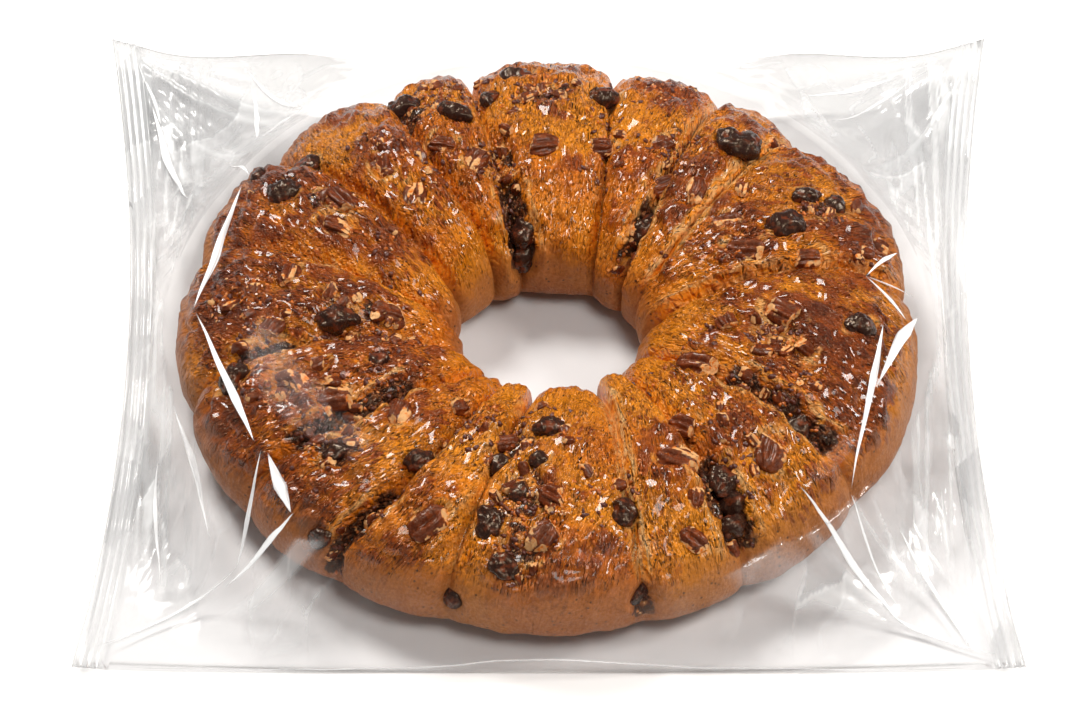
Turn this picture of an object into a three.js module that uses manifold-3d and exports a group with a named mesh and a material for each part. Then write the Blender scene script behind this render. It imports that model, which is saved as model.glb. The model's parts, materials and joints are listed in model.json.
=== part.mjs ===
// A date pecan ring: a twisted, filled sweet-dough ring with pecans and date pieces baked into its
// crust, lying in a clear film bag. Millimetres, +Z up. The origin is the middle of the ring, on the
// underside of the bag's base film, and +X runs along the bag towards one of its end seals.
import * as THREE from "three";
import { mergeVertices } from "three/addons/utils/BufferGeometryUtils.js";
import Module from "manifold-3d";

const wasm = await Module();
wasm.setup();

// The dough ring.
const CENTRE_RADIUS = 94; // from the ring's axis to the middle of the dough
const HALF_WIDTH = 54.5;
const HEIGHT = 51;
const WIDEST_AT = 0.36; // share of the height at which the dough is widest
const CROWN_POWER = 2.15; // superellipse power above the widest line: 2 is an ellipse
const BASE_POWER = 2.8;
const SUNK = 1.2; // how much of the rounded base is pressed flat
const LOBE_RISE = 2.6; // how far a strand swells between two folds
const COLUMNS_PER_STRAND = 7;
const ROWS = 26;

// The bag.
const FILM = 0.4; // thickness of the film as a solid
const GAP = 0.3; // clearance between pieces that touch
const SLACK = 7; // air between the dough and the top film, where the nuts stand proud
const FILM_HEIGHT = 61;
const END_X = 187; // end seals
const FRONT_Y = 160;
const BACK_Y = 190;
const WAIST = 14; // how far the ends draw in between their corners
const BACK_DIP = 30; // how far the back edge is drawn in between its corners
const SEAL_WIDTH = 12;
const FOLD_WIDTH = 3;
const SEAL_LIFT = 0.8; // how far the inner line of a seal stands above its outer edge
const SPOKES_PER_SIDE = 16;
const FILM_STEPS = 13;
const FILM_SPOKES = 4 * SPOKES_PER_SIDE;

const crustBrown = 0xa8642a;
const skins = { pecan: 0x6b3018, date: 0x2c1410 };

// Each fold between two strands: its angle round the ring in degrees at the hole, on the crown and at
// the outer side, and how deep it cuts.
const folds = [
  { hole: 0, crown: 9, side: 8, depth: 2.4 },
  { hole: 20, crown: 40, side: 44, depth: 2.8 },
  { hole: 43, crown: 56, side: 60, depth: 4 },
  { hole: 64, crown: 75, side: 79, depth: 2.6 },
  { hole: 105, crown: 105, side: 103, depth: 4.6 },
  { hole: 122, crown: 122, side: 117, depth: 2.6 },
  { hole: 154, crown: 143, side: 141, depth: 2.6 },
  { hole: 184, crown: 169, side: 166, depth: 2.4 },
  { hole: 210, crown: 197, side: 195, depth: 3.4 },
  { hole: 232, crown: 222, side: 216, depth: 2.4 },
  { hole: 247, crown: 244, side: 235, depth: 5 },
  { hole: 262, crown: 257, side: 254, depth: 2.6 },
  { hole: 298, crown: 288, side: 285, depth: 3 },
  { hole: 311, crown: 304, side: 302, depth: 4.6 },
  { hole: 332, crown: 327, side: 326, depth: 4 },
];

// Nuts and dates that stand out of the crust: angle round the ring, angle over the section (0 is the
// outer side, 90 the crown, 180 the hole), heading of the long axis, all in degrees, and length.
const pecans = [
  [92, 101, 10, 16],
  [76, 97, 0, 14],
  [53, 104, 20, 15],
  [43, 102, 65, 15],
  [27, 101, 5, 14],
  [15, 100, -5, 17],
  [11, 78, 10, 14],
  [112, 103, 60, 14],
  [118, 90, 170, 13],
  [135, 88, 90, 15],
  [136, 107, 80, 15],
  [150, 87, 130, 17],
  [159, 91, 155, 16],
  [176, 80, 80, 14],
  [190, 119, 0, 16],
  [190, 72, 60, 14],
  [216, 81, 5, 17],
  [208, 73, 120, 12],
  [230, 92, 70, 13],
  [258, 100, 10, 12],
  [249, 50, 40, 18],
  [271, 71, 150, 15],
  [269, 50, 60, 18],
  [326, 112, 155, 19],
  [306, 92, 150, 15],
  [298, 77, 165, 19],
  [294, 39, 140, 13],
  [315, 60, 80, 19],
  [351, 89, 145, 18],
  [346, 110, 110, 13],
];
const dates = [
  [96, 51, 0, 13],
  [102, 67, 60, 11],
  [118, 54, 20, 14],
  [111, 76, 150, 14],
  [142, 54, 40, 12],
  [152, 62, 15, 16],
  [192, 96, 5, 17],
  [199, 48, 50, 15],
  [79, 66, 0, 14],
  [49, 130, 20, 14],
  [104, 163, 90, 14],
  [47, 70, 0, 19],
  [27, 66, 20, 12],
  [20, 82, 25, 17],
  [352, 57, 40, 14],
  [304, 62, 100, 14],
  [302, 38, 80, 14],
  [284, 63, 90, 12],
  [270, 105, 10, 14],
  [259, 58, 80, 14],
  [263, 35, 140, 13],
  [241, 79, 30, 13],
];

const radians = THREE.MathUtils.degToRad;

function power(value, exponent) {
  return Math.sign(value) * Math.abs(value) ** (2 / exponent);
}

// A point of the smooth section, as [radius, height], before the strands swell it.
function sectionPoint(over, halfWidth, height) {
  const widest = HEIGHT * WIDEST_AT;
  const across = Math.cos(over);
  const up = Math.sin(over);
  if (up >= 0)
    return [
      CENTRE_RADIUS + halfWidth * power(across, CROWN_POWER),
      widest + (height - widest) * power(up, CROWN_POWER),
    ];
  return [CENTRE_RADIUS + halfWidth * power(across, BASE_POWER), widest * (1 + power(up, BASE_POWER))];
}

// The outward direction of the section there, as [radial, vertical].
function sectionNormal(over) {
  const step = 0.01;
  const [r0, z0] = sectionPoint(over - step, HALF_WIDTH, HEIGHT);
  const [r1, z1] = sectionPoint(over + step, HALF_WIDTH, HEIGHT);
  const length = Math.hypot(r1 - r0, z1 - z0);
  return [(z1 - z0) / length, -(r1 - r0) / length];
}

function foldAngle(fold, over) {
  const c = Math.cos(over);
  const slant = (fold.side - fold.hole) / 2;
  const bend = (fold.side + fold.hole) / 2 - fold.crown;
  return radians(fold.crown + slant * c + bend * c * c);
}

// How far the dough stands out of the smooth section, from one fold (share 0) to the next (share 1).
function swell(fold, next, share, over) {
  const onTop = THREE.MathUtils.smoothstep(Math.sin(over), -0.7, 0.1);
  const middle = 1 - Math.abs(2 * share - 1) ** 2.4;
  const valley = THREE.MathUtils.lerp(fold.depth, next.depth, share) * Math.abs(2 * share - 1) ** 5;
  return onTop * (LOBE_RISE * middle - valley);
}

function doughPoint(angle, over, rise) {
  const [radius, height] = sectionPoint(over, HALF_WIDTH, HEIGHT);
  const [outward, upward] = sectionNormal(over);
  const r = radius + outward * rise;
  const z = Math.max(height + upward * rise - SUNK, 0) + FILM + GAP;
  return new THREE.Vector3(r * Math.cos(angle), r * Math.sin(angle), z);
}

function strandAt(angle, over) {
  for (let k = 0; k < folds.length; k++) {
    const next = folds[(k + 1) % folds.length];
    const from = foldAngle(folds[k], over);
    const turn = 2 * Math.PI;
    const span = (((foldAngle(next, over) - from) % turn) + turn) % turn;
    const along = (((angle - from) % turn) + turn) % turn;
    if (along < span) return { fold: folds[k], next, share: along / span };
  }
  throw new Error("no strand at that angle");
}

function gridGeometry(points, triangles) {
  const geometry = new THREE.BufferGeometry();
  geometry.setAttribute("position", new THREE.Float32BufferAttribute(points.flatMap((p) => p.toArray()), 3));
  geometry.setIndex(triangles);
  return geometry;
}

function doughGeometry() {
  const points = [];
  folds.forEach((fold, k) => {
    const next = folds[(k + 1) % folds.length];
    for (let column = 0; column < COLUMNS_PER_STRAND; column++)
      for (let row = 0; row < ROWS; row++) {
        const share = column / COLUMNS_PER_STRAND;
        const over = (row / ROWS) * 2 * Math.PI;
        const from = foldAngle(fold, over);
        const lap = k + 1 === folds.length ? 2 * Math.PI : 0;
        const angle = THREE.MathUtils.lerp(from, foldAngle(next, over) + lap, share);
        points.push(doughPoint(angle, over, swell(fold, next, share, over)));
      }
  });
  const columns = folds.length * COLUMNS_PER_STRAND;
  const triangles = [];
  for (let i = 0; i < columns; i++)
    for (let j = 0; j < ROWS; j++) {
      const [a, b] = [i * ROWS + j, ((i + 1) % columns) * ROWS + j];
      const [c, d] = [i * ROWS + ((j + 1) % ROWS), ((i + 1) % columns) * ROWS + ((j + 1) % ROWS)];
      triangles.push(a, b, d, a, d, c);
    }
  return gridGeometry(points, triangles);
}

// A nut or date as a faceted pebble with its long axis on x, as wide and thick as the shares say.
function pebbleGeometry(length, width, thickness, grow) {
  const geometry = new THREE.IcosahedronGeometry(1, 1);
  geometry.scale(length / 2 + grow, (length * width) / 2 + grow, (length * thickness) / 2 + grow);
  return geometry;
}

// Where it lies: its middle on the crust, its long axis turned to its heading along the crust.
function restingPlace(angleDegrees, overDegrees, headingDegrees, lift) {
  const angle = radians(angleDegrees);
  const over = radians(overDegrees);
  const { fold, next, share } = strandAt(angle, over);
  const [outward, upward] = sectionNormal(over);
  const out = new THREE.Vector3(outward * Math.cos(angle), outward * Math.sin(angle), upward);
  const heading = radians(headingDegrees);
  const along = new THREE.Vector3(Math.cos(heading), Math.sin(heading), 0).projectOnPlane(out).normalize();
  const side = out.clone().cross(along);
  const place = new THREE.Matrix4().makeBasis(along, side, out);
  return place.setPosition(doughPoint(angle, over, swell(fold, next, share, over) + lift));
}

const pieces = { pecan: { width: 0.66, thickness: 0.5 }, date: { width: 0.74, thickness: 0.6 } };

function toppings(kind, table) {
  const { width, thickness } = pieces[kind];
  return table.map(([angle, over, heading, length], i) => ({
    name: `${kind}_${String(i + 1).padStart(2, "0")}`,
    kind,
    solid: pebbleGeometry(length, width, thickness, 0),
    socket: pebbleGeometry(length, width, thickness, GAP + 0.15),
    place: restingPlace(angle, over, heading, 0.12 * length * thickness),
  }));
}

function toManifold(geometry) {
  const bare = geometry.clone();
  bare.deleteAttribute("normal");
  bare.deleteAttribute("uv");
  const merged = mergeVertices(bare, 1e-4);
  return new wasm.Manifold(
    new wasm.Mesh({
      numProp: 3,
      vertProperties: merged.attributes.position.array,
      triVerts: new Uint32Array(merged.index.array),
    }),
  );
}

function fromManifold(solid) {
  const { vertProperties, triVerts } = solid.getMesh();
  const geometry = new THREE.BufferGeometry();
  geometry.setAttribute("position", new THREE.BufferAttribute(new Float32Array(vertProperties), 3));
  geometry.setIndex(new THREE.BufferAttribute(new Uint32Array(triVerts), 1));
  geometry.computeVertexNormals();
  return geometry;
}

// The directions from the middle of the ring to the bag's four corners, going round from the back right.
const cornerAngles = [
  Math.atan2(BACK_Y, END_X),
  Math.PI - Math.atan2(BACK_Y, END_X),
  Math.PI + Math.atan2(FRONT_Y, END_X),
  2 * Math.PI - Math.atan2(FRONT_Y, END_X),
];

// Each side has the same number of spokes, and the first one of each side runs to a corner.
function spokeAngle(spoke) {
  const side = Math.floor(spoke / SPOKES_PER_SIDE) % 4;
  const from = cornerAngles[side];
  const to = cornerAngles[(side + 1) % 4] + (side === 3 ? 2 * Math.PI : 0);
  return THREE.MathUtils.lerp(from, to, (spoke % SPOKES_PER_SIDE) / SPOKES_PER_SIDE);
}

// The bag's edge in a direction, and the inner line of its seal or fold. The outline is a rectangle with
// waisted ends and a dipping back, so that its corners flare.
function bagEdge(angle) {
  const c = Math.abs(Math.cos(angle));
  const s = Math.abs(Math.sin(angle));
  const back = Math.sin(angle) > 0;
  const reachY = back ? BACK_Y : FRONT_Y;
  const waistX = END_X - WAIST * (1 - Math.min(1, (s / c) * (END_X / reachY)) ** 2);
  const waistY = reachY - (back ? BACK_DIP : 0) * (1 - Math.min(1, (c / s) * (reachY / END_X)) ** 2);
  return {
    radius: Math.min(waistX / c, waistY / s),
    inner: Math.min((waistX - SEAL_WIDTH) / c, (waistY - FOLD_WIDTH) / s),
  };
}

// The top film's profile in a direction, as [radius, height] points from the middle to the edge: flat
// over the hole, round the shoulder of the dough, then straight to the seal.
function filmProfile(angle) {
  const { radius, inner } = bagEdge(angle);
  const rim = FILM + GAP;
  const foot = [inner, rim + SEAL_LIFT];
  const shoulder = [];
  for (let step = 0; step <= 24; step++) {
    const over = (Math.PI / 2) * (1 - step / 24);
    shoulder.push(sectionPoint(over, Math.min(HALF_WIDTH + SLACK, foot[0] - CENTRE_RADIUS - 0.5), FILM_HEIGHT));
  }
  const slope = ([r, z]) => (z - foot[1]) / (foot[0] - r);
  const leave = shoulder.reduce((best, p, i) => (slope(p) > slope(shoulder[best]) ? i : best), 0);
  const path = [[0, FILM_HEIGHT], ...shoulder.slice(0, leave + 1), foot];
  const lengths = path.slice(1).map((p, i) => Math.hypot(p[0] - path[i][0], p[1] - path[i][1]));
  const total = lengths.reduce((sum, l) => sum + l, 0);
  const points = [];
  for (let step = 1; step < FILM_STEPS; step++) {
    let left = (total * step) / (FILM_STEPS - 1);
    let i = 0;
    while (i < lengths.length - 1 && left > lengths[i]) left -= lengths[i++];
    const share = Math.min(1, left / lengths[i]);
    points.push([0, 1].map((k) => THREE.MathUtils.lerp(path[i][k], path[i + 1][k], share)));
  }
  points.push([radius, rim]);
  return points;
}

function filmGeometry() {
  const skin = (offset) => {
    const points = [new THREE.Vector3(0, 0, FILM_HEIGHT + offset)];
    for (let spoke = 0; spoke < FILM_SPOKES; spoke++) {
      const angle = spokeAngle(spoke);
      for (const [r, z] of filmProfile(angle))
        points.push(new THREE.Vector3(r * Math.cos(angle), r * Math.sin(angle), z + offset));
    }
    return points;
  };
  const inner = skin(0);
  const outer = skin(FILM);
  const triangles = [];
  const steps = FILM_STEPS;
  const at = (spoke, step) => 1 + (spoke % FILM_SPOKES) * steps + step;
  const flip = (a, b, c) => triangles.push(a, b, c, a + inner.length, c + inner.length, b + inner.length);
  for (let spoke = 0; spoke < FILM_SPOKES; spoke++) {
    flip(0, at(spoke + 1, 0), at(spoke, 0));
    for (let step = 0; step < steps - 1; step++) {
      flip(at(spoke, step), at(spoke + 1, step), at(spoke + 1, step + 1));
      flip(at(spoke, step), at(spoke + 1, step + 1), at(spoke, step + 1));
    }
    const [a, b] = [at(spoke, steps - 1), at(spoke + 1, steps - 1)];
    triangles.push(a, b, b + inner.length, a, b + inner.length, a + inner.length);
  }
  return gridGeometry([...inner, ...outer], triangles);
}

function baseFilmGeometry() {
  const outline = [];
  for (let spoke = 0; spoke < FILM_SPOKES; spoke++) {
    const angle = spokeAngle(spoke);
    const { radius } = bagEdge(angle);
    outline.push(new THREE.Vector2(radius * Math.cos(angle), radius * Math.sin(angle)));
  }
  return new THREE.ExtrudeGeometry(new THREE.Shape(outline), { depth: FILM, bevelEnabled: false });
}

const film = new THREE.MeshStandardMaterial({ color: 0xf2f4f5, roughness: 0.08, transparent: true, opacity: 0.15 });
const crust = new THREE.MeshStandardMaterial({ color: crustBrown, roughness: 0.45 });

function mesh(name, geometry, material) {
  const made = new THREE.Mesh(geometry, material);
  made.name = name;
  return made;
}

const ring = new THREE.Group();
const laid = [...toppings("pecan", pecans), ...toppings("date", dates)];
let dough = toManifold(doughGeometry());
for (const { socket, place } of laid) dough = dough.subtract(toManifold(socket.clone().applyMatrix4(place)));
ring.add(mesh("bread_ring", fromManifold(dough), crust));
for (const { name, kind, solid, place } of laid) {
  const topping = mesh(name, solid, new THREE.MeshStandardMaterial({ color: skins[kind], roughness: 0.35 }));
  topping.applyMatrix4(place);
  ring.add(topping);
}
ring.add(mesh("bag_top_film", filmGeometry(), film));
ring.add(mesh("bag_base_film", baseFilmGeometry(), film));

export default ring;
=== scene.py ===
"""A date pecan ring in a clear film bag, dressed over its CAD frame.

Lengths are in millimetres until a mesh is made, and then in metres. A point of the dough is given by
its angle round the ring (0 is +X, 90 is +Y, the back) and by "over", its angle over the section: 0 is
the outer side, 90 the crown, 180 the hole side and 270 the underside.
"""

import json
import math

import bmesh
import bpy
import numpy as np
from bpy.props import FloatProperty, FloatVectorProperty, IntProperty, PointerProperty
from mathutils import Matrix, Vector

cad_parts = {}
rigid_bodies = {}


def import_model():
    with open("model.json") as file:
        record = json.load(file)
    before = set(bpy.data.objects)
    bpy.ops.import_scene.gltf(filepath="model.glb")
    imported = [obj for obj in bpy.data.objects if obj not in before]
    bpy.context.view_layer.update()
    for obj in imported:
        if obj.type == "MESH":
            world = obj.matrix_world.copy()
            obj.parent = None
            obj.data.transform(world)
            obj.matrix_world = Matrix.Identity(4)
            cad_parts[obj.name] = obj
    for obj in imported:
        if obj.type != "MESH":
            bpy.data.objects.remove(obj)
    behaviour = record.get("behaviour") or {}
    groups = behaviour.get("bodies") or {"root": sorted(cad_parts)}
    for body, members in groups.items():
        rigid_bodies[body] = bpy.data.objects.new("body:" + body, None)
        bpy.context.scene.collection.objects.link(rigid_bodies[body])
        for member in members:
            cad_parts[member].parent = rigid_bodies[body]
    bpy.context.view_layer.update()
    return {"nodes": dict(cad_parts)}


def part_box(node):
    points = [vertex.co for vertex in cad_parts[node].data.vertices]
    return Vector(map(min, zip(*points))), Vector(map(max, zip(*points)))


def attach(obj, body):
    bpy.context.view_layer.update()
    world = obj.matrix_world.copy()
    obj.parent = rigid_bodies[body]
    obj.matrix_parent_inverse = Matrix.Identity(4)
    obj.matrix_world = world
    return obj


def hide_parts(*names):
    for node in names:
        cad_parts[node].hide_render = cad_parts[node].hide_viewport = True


bl_info = {
    "name": "Date pecan ring",
    "version": (1, 0, 0),
    "blender": (4, 5, 0),
    "location": "3D View > Sidebar > Date pecan ring",
    "description": "Makes the crust, nuts, dates, crumbs and film of a date pecan ring",
    "category": "Add Mesh",
}

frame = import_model()
MM = 0.001

# The dough ring, as its solid has it. WIDEST is the height of its widest place, the powers round its
# section above and below that, SUNK is how far its flat foot cuts in, and BREAD_FOOT its foot's height.
CENTRE_RADIUS = 94
HALF_WIDTH = 54.5
HEIGHT = 51
WIDEST = 0.36 * HEIGHT
CROWN_POWER = 2.15
BASE_POWER = 2.8
SUNK = 1.2
BREAD_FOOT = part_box("bread_ring")[0].z / MM

# The crust's relief: how far a strand swells, how far one stands over the next, the crease between
# two, the broad waves, bumps and lumps, and the dent and collar that a nut bakes for itself.
SWELL = 2.6
UNEVEN = 0.9
CREASE = 1.5
WAVE = 1.1
BUMP = 1.0
LUMP = 1.5
DENT = 1.2
COLLAR = 0.55

# How near a nut, date or patch the crust has to be to be changed by it. The far side of the ring isn't.
NEAR = 14

# A distance that is more than any that matters, in whatever it is counted in.
FAR = 9.0

# In the crust's map: how far apart two strands lie, and how tall the last row is.
STRAND_APART = 250
LAST_ROW = 1.5

# The glaze is coloured through, and tints its shine. The film lets most light through; its darker tone
# on the dark side of a fold and behind the ring is painted shade. A crease has its own tint where it is seen
# through.
WARM = (1, 0.76, 0.5, 1)
CLEAR_FILM = (0.893, 0.893, 0.897, 1)
CREASED_FILM = (0.95, 0.95, 0.95, 1)
PAINTED_SHADE_FILM = (0.42, 0.43, 0.44, 1)

# Each fold between two strands: its angle round the ring at the hole, on the crown and at the outer
# side, how deep it cuts, how far the strand after it laps over the one before (less than 0 the other
# way round), and how much pale stretched dough lies in it.
FOLDS = (
    (0, 9, 8, 2.4, 1.4, 0.5),
    (20, 40, 44, 2.8, -1.2, 1.0),
    (43, 56, 60, 4, 0.8, 0.7),
    (64, 75, 79, 2.6, 1.0, 0.4),
    (105, 105, 103, 4.6, -0.6, 0.4),
    (122, 122, 117, 2.6, 0.9, 0.3),
    (154, 143, 141, 2.6, -1.0, 0.3),
    (184, 169, 166, 2.4, 1.2, 0.4),
    (210, 197, 195, 3.4, 1.0, 0.6),
    (232, 222, 216, 2.4, -0.8, 0.3),
    (247, 244, 235, 5, 1.6, 0.4),
    (262, 257, 254, 2.6, -0.6, 0.5),
    (298, 288, 285, 3, 0.8, 1.0),
    (311, 304, 302, 4.6, -0.8, 0.4),
    (332, 327, 326, 4, 1.0, 0.5),
)

# The columns of FOLDS after its angles.
DEPTH, LAP, STRETCH = 3, 4, 5

# Where the date filling shows in a fold: the fold, from and to over the section, half its width, and
# how deep it lies.
SEAMS = (
    (2, 112, 158, 4, 1.8),
    (4, 114, 170, 6, 3),
    (8, 46, 82, 4.5, 2.2),
    (9, 50, 112, 5, 1.8),
    (10, -12, 64, 5, 3.4),
    (12, -8, 12, 4, 2),
    (13, 18, 78, 7, 3),
    (14, 38, 102, 6, 2.6),
)

# Where the crust has opened over the filling: angle, over, heading, length, width and depth.
PATCHES = (
    (264, 66, 96, 52, 24, 2.6),
    (262, 100, 80, 20, 14, 2),
    (92, 70, 20, 30, 18, 1),
    (104, 104, 100, 26, 13, 1.4),
    (343, 86, 140, 36, 18, 1.4),
    (226, 70, 40, 34, 18, 1.8),
    (206, 66, 70, 20, 16, 1.6),
    (152, 84, 120, 24, 16, 1.2),
    (60, 84, 20, 26, 14, 1.2),
    (118, 66, 30, 24, 16, 1.2),
    (22, 62, 20, 30, 15, 1.2),
    (190, 100, 20, 30, 12, 1),
)

# The bag: how far its ends and back draw in between the corners, its end seals and their crimps, how
# thick it is at its edge, how high it lies on the floor, the most haziness and painted light it may have,
# and how many rounds it is given to settle on the ring.
WAIST = 14
BACK_DIP = 30
SEAL = 12
CRIMP = 3
THICK = 0.3
ON_FLOOR = 0.1
MOST_HAZE_AND_PAINTED_LIGHT = 0.92
SETTLING = 900

# How far the film rests above the smooth crown and beside it, so that it clears the nuts and bumps.
CLEAR = 9
BESIDE = 8

# The film's upper grid has this many points across and along. A cell of the lower grid spans COARSE of
# its cells each way, so both counts are one more than a multiple of COARSE.
FILM_GRID = (301, 289)
COARSE = 6

# Where the back fold of the bag stands behind the ring: how far back and how high.
BACK_FOLD = (153, 29)

# Points along each crease of the film, and round it.
CREASE_STEPS = 48
CREASE_SPOKES = 12

# Creases in the film: x and y of both ends, breadth, where along it is broadest, and whiteness, a painted
# highlight.
CREASES = (
    (-126, 62, -143, -8, 3.7, 0.6, 0.9),
    (-142, -10, -116, -82, 3.7, 0.7, 0.9),
    (-113, -86, -124, -120, 1.9, 0.6, 1),
    (-111, -88, -101, -113, 5.6, 0.6, 0.75),
    (-100, -113, -128, -124, 3.7, 0.35, 0.7),
    (-123, -119, -178, -150, 1.4, 0.3, 0.8),
    (-151, -46, -134, -106, 3.1, 0.45, 0.8),
    (-157, -60, -154, -118, 1.9, 0.4, 0.6),
    (-176, 178, -164, 140, 1.9, 0.7, 0.5),
    (-168, 152, -150, 88, 3.7, 0.45, 0.85),
    (-134, 100, -123, 66, 2.8, 0.5, 0.85),
    (-130, 165, -103, 124, 2.5, 0.7, 0.6),
    (-126, 156, -122, 112, 3.1, 0.7, 0.7),
    (-122, 112, -102, 120, 2.5, 0.4, 0.6),
    (128, 4, 142, 24, 2.5, 0.7, 0.85),
    (128, 4, 148, 2, 1, 0.5, 0.75),
    (128, 4, 144, -14, 1.6, 0.6, 0.8),
    (149, -8, 131, -52, 5.6, 0.3, 0.8),
    (134, -20, 119, -98, 3.1, 0.35, 0.9),
    (119, -98, 139, -133, 1.2, 0.3, 0.8),
    (98, -104, 140, -138, 3.7, 0.5, 0.95),
    (136, -135, 176, -153, 2.2, 0.2, 0.8),
    (139, -98, 166, -150, 2.2, 0.3, 0.75),
    (106, 138, 150, 166, 2.5, 0.6, 0.5),
    (118, 126, 164, 172, 1.9, 0.5, 0.45),
    (-166, -158.8, 166, -158.8, 0.9, 0.5, 0.5),
)

# Smaller pieces of nut and date: angle, over, heading and length.
SMALL_PECANS = (
    (183, 95, 60, 10),
    (297, 58, 90, 10),
    (343, 78, 170, 11),
    (61, 88, 10, 12),
    (241, 111, 20, 9),
    (182, 55, 40, 11),
    (15, 36, 0, 10),
    (95, 74, 30, 9),
    (91, 66, 80, 8),
    (88, 72, 140, 9),
    (98, 80, 10, 8),
    (103, 98, 70, 9),
    (106, 110, 30, 8),
    (340, 84, 50, 9),
    (346, 92, 100, 8),
    (338, 92, 20, 10),
    (262, 78, 40, 9),
    (205, 84, 30, 9),
    (169, 92, 10, 8),
    (226, 96, 60, 9),
    (34, 88, 80, 9),
)
SMALL_DATES = (
    (148, 37, 60, 9),
    (102, 146, 90, 15),
    (25, 54, 120, 11),
    (264, 74, 60, 10),
    (225, 64, 70, 13),
    (284, 13, 90, 10),
    (255, 8, 0, 10),
    (211, 105, 40, 9),
    (326, 62, 60, 14),
    (232, 20, 70, 12),
    (304, 50, 90, 13),
    (302, 68, 80, 9),
    (258, 90, 40, 11),
    (268, 88, 30, 9),
)

# A small piece's length, breadth and height, as shares of its length.
SMALL_PECAN_SHARES = (1, 0.66, 0.5)
SMALL_DATE_SHARES = (1, 0.8, 0.65)

# How many steps each way a nut or date is made of, and a small one.
TOPPING_STEPS = 36
SMALL_STEPS = 20

# A bit of nut is this long before it is scaled, and so many kinds of chip and bit are strewn.
BIT_LENGTH = 7
CHIP_KINDS = 6
BIT_KINDS = 9

# The stage, in metres: the floor, the sky's strength, and each lamp's place, width and power.
FLOOR_REACH = 6.0
FLOOR_LEVEL = -0.0004
FLOOR_COLOUR = (0.93, 0.93, 0.93, 1)
SKY_STRENGTH = 0.22
LAMP_COLOUR = (1, 0.965, 0.92)
LAMPS = (
    ("key", (-0.75, 1.0, 1.7), 0.7, 46),
    ("side", (1.5, 0.1, 1.2), 0.5, 24),
    ("front", (0.45, -0.9, 1.9), 0.8, 22),
)

# The camera: its tilt in degrees, how far it stands from the point it looks at, that point, and its lens.
CAMERA_TILT = 46.2
CAMERA_DISTANCE = 2.6
CAMERA_AIM = (-0.0035, -0.0095, 0.0209)
CAMERA_LENS = 213.4


# --- Numbers that repeat ---------------------------------------------------------------------------


def lattice(cell, seed):
    """A repeatable number from -1 to 1 for each whole-numbered point of space."""
    mixed = cell[..., 0] * 73856093 ^ cell[..., 1] * 19349663 ^ cell[..., 2] * 83492791 ^ seed * 40503
    mixed = ((mixed ^ (mixed >> 13)) * 60493) & 0x7FFFFFFF
    mixed = ((mixed ^ (mixed >> 15)) * 22695477) & 0x7FFFFFFF
    return (mixed >> 8 & 0xFFFF) / 32767.5 - 1


def noise(points, size, seed):
    """Smooth noise from -1 to 1 whose bumps are about the given size."""
    spot = points / size
    cell = np.floor(spot).astype(np.int64)
    part = spot - cell
    part = part * part * (3 - 2 * part)
    total = np.zeros(points.shape[:-1])
    for corner in np.ndindex(2, 2, 2):
        offset = np.array(corner)
        weight = np.where(offset == 1, part, 1 - part).prod(axis=-1)
        total += weight * lattice(cell + offset, seed)
    return total


def fractal(points, size, seed, octaves=3):
    """Noise from -1 to 1 with finer bumps on its bumps."""
    total = sum(noise(points, size / 2**i, seed + i) / 2**i for i in range(octaves))
    return total / (2 - 2 ** (1 - octaves))


def ridged(points, size, seed, octaves=2):
    """Noise with sharp crests: 1 on a crest, 0 in a hollow."""
    total = sum((1 - np.abs(noise(points, size / 2**i, seed + i)) * 2) / 2**i for i in range(octaves))
    return np.clip(total / (2 - 2 ** (1 - octaves)), -1, 1) * 0.5 + 0.5


def lumps(points, size, seed):
    """Rounded lumps packed side by side: 1 in the middle of a lump, 0 where lumps meet."""
    spot = points / size
    cell = np.floor(spot).astype(np.int64)
    nearest = np.full(points.shape[:-1], FAR)
    for corner in np.ndindex(3, 3, 3):
        near = cell + (np.array(corner) - 1)
        jitter = np.stack([lattice(near, seed + axis) for axis in range(3)], axis=-1)
        nearest = np.minimum(nearest, np.linalg.norm(near + 0.5 + 0.45 * jitter - spot, axis=-1))
    return np.clip(1 - nearest**2 * 1.6, 0, 1)


def facets(points, seed):
    """Flat-sided cells: 1 in the middle of each, how far off its edge is, and a number of its own."""
    cell = np.floor(points).astype(np.int64)
    first = np.full(points.shape[:-1], FAR)
    second = first.copy()
    tone = 0 * first
    for corner in np.ndindex(3, 3, 1):
        near = cell + (np.array(corner) - np.array([1, 1, 0]))
        jitter = np.stack([lattice(near, seed + axis) for axis in range(2)], axis=-1)
        away = np.linalg.norm((near[..., :2] + 0.5 + 0.45 * jitter) - points[..., :2], axis=-1)
        nearer = away < first
        tone = np.where(nearer, lattice(near, seed + 5) * 0.5 + 0.5, tone)
        second = np.where(nearer, first, np.minimum(second, away))
        first = np.where(nearer, away, first)
    return np.clip(1 - first, 0, 1), second - first, tone


def smooth(value, low, high):
    """Runs smoothly from 0 to 1 as the value goes from low to high."""
    part = np.clip((value - low) / (high - low), 0, 1)
    return part * part * (3 - 2 * part)


# --- The dough's shape -----------------------------------------------------------------------------


def section(over):
    """A point of the smooth section, as radius and height, before the strands swell it."""
    across, up = np.cos(over), np.sin(over)
    exponent = np.where(up >= 0, CROWN_POWER, BASE_POWER)
    outward = np.sign(across) * np.abs(across) ** (2 / exponent)
    upward = np.sign(up) * np.abs(up) ** (2 / exponent)
    z = np.where(up >= 0, WIDEST + (HEIGHT - WIDEST) * upward, WIDEST * (1 + upward))
    return CENTRE_RADIUS + HALF_WIDTH * outward, z


def section_normal(over):
    """The section's outward direction, as its parts away from the ring's middle and up."""
    step = 0.01
    r0, z0 = section(over - step)
    r1, z1 = section(over + step)
    length = np.hypot(r1 - r0, z1 - z0)
    return (z1 - z0) / length, (r0 - r1) / length


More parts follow.
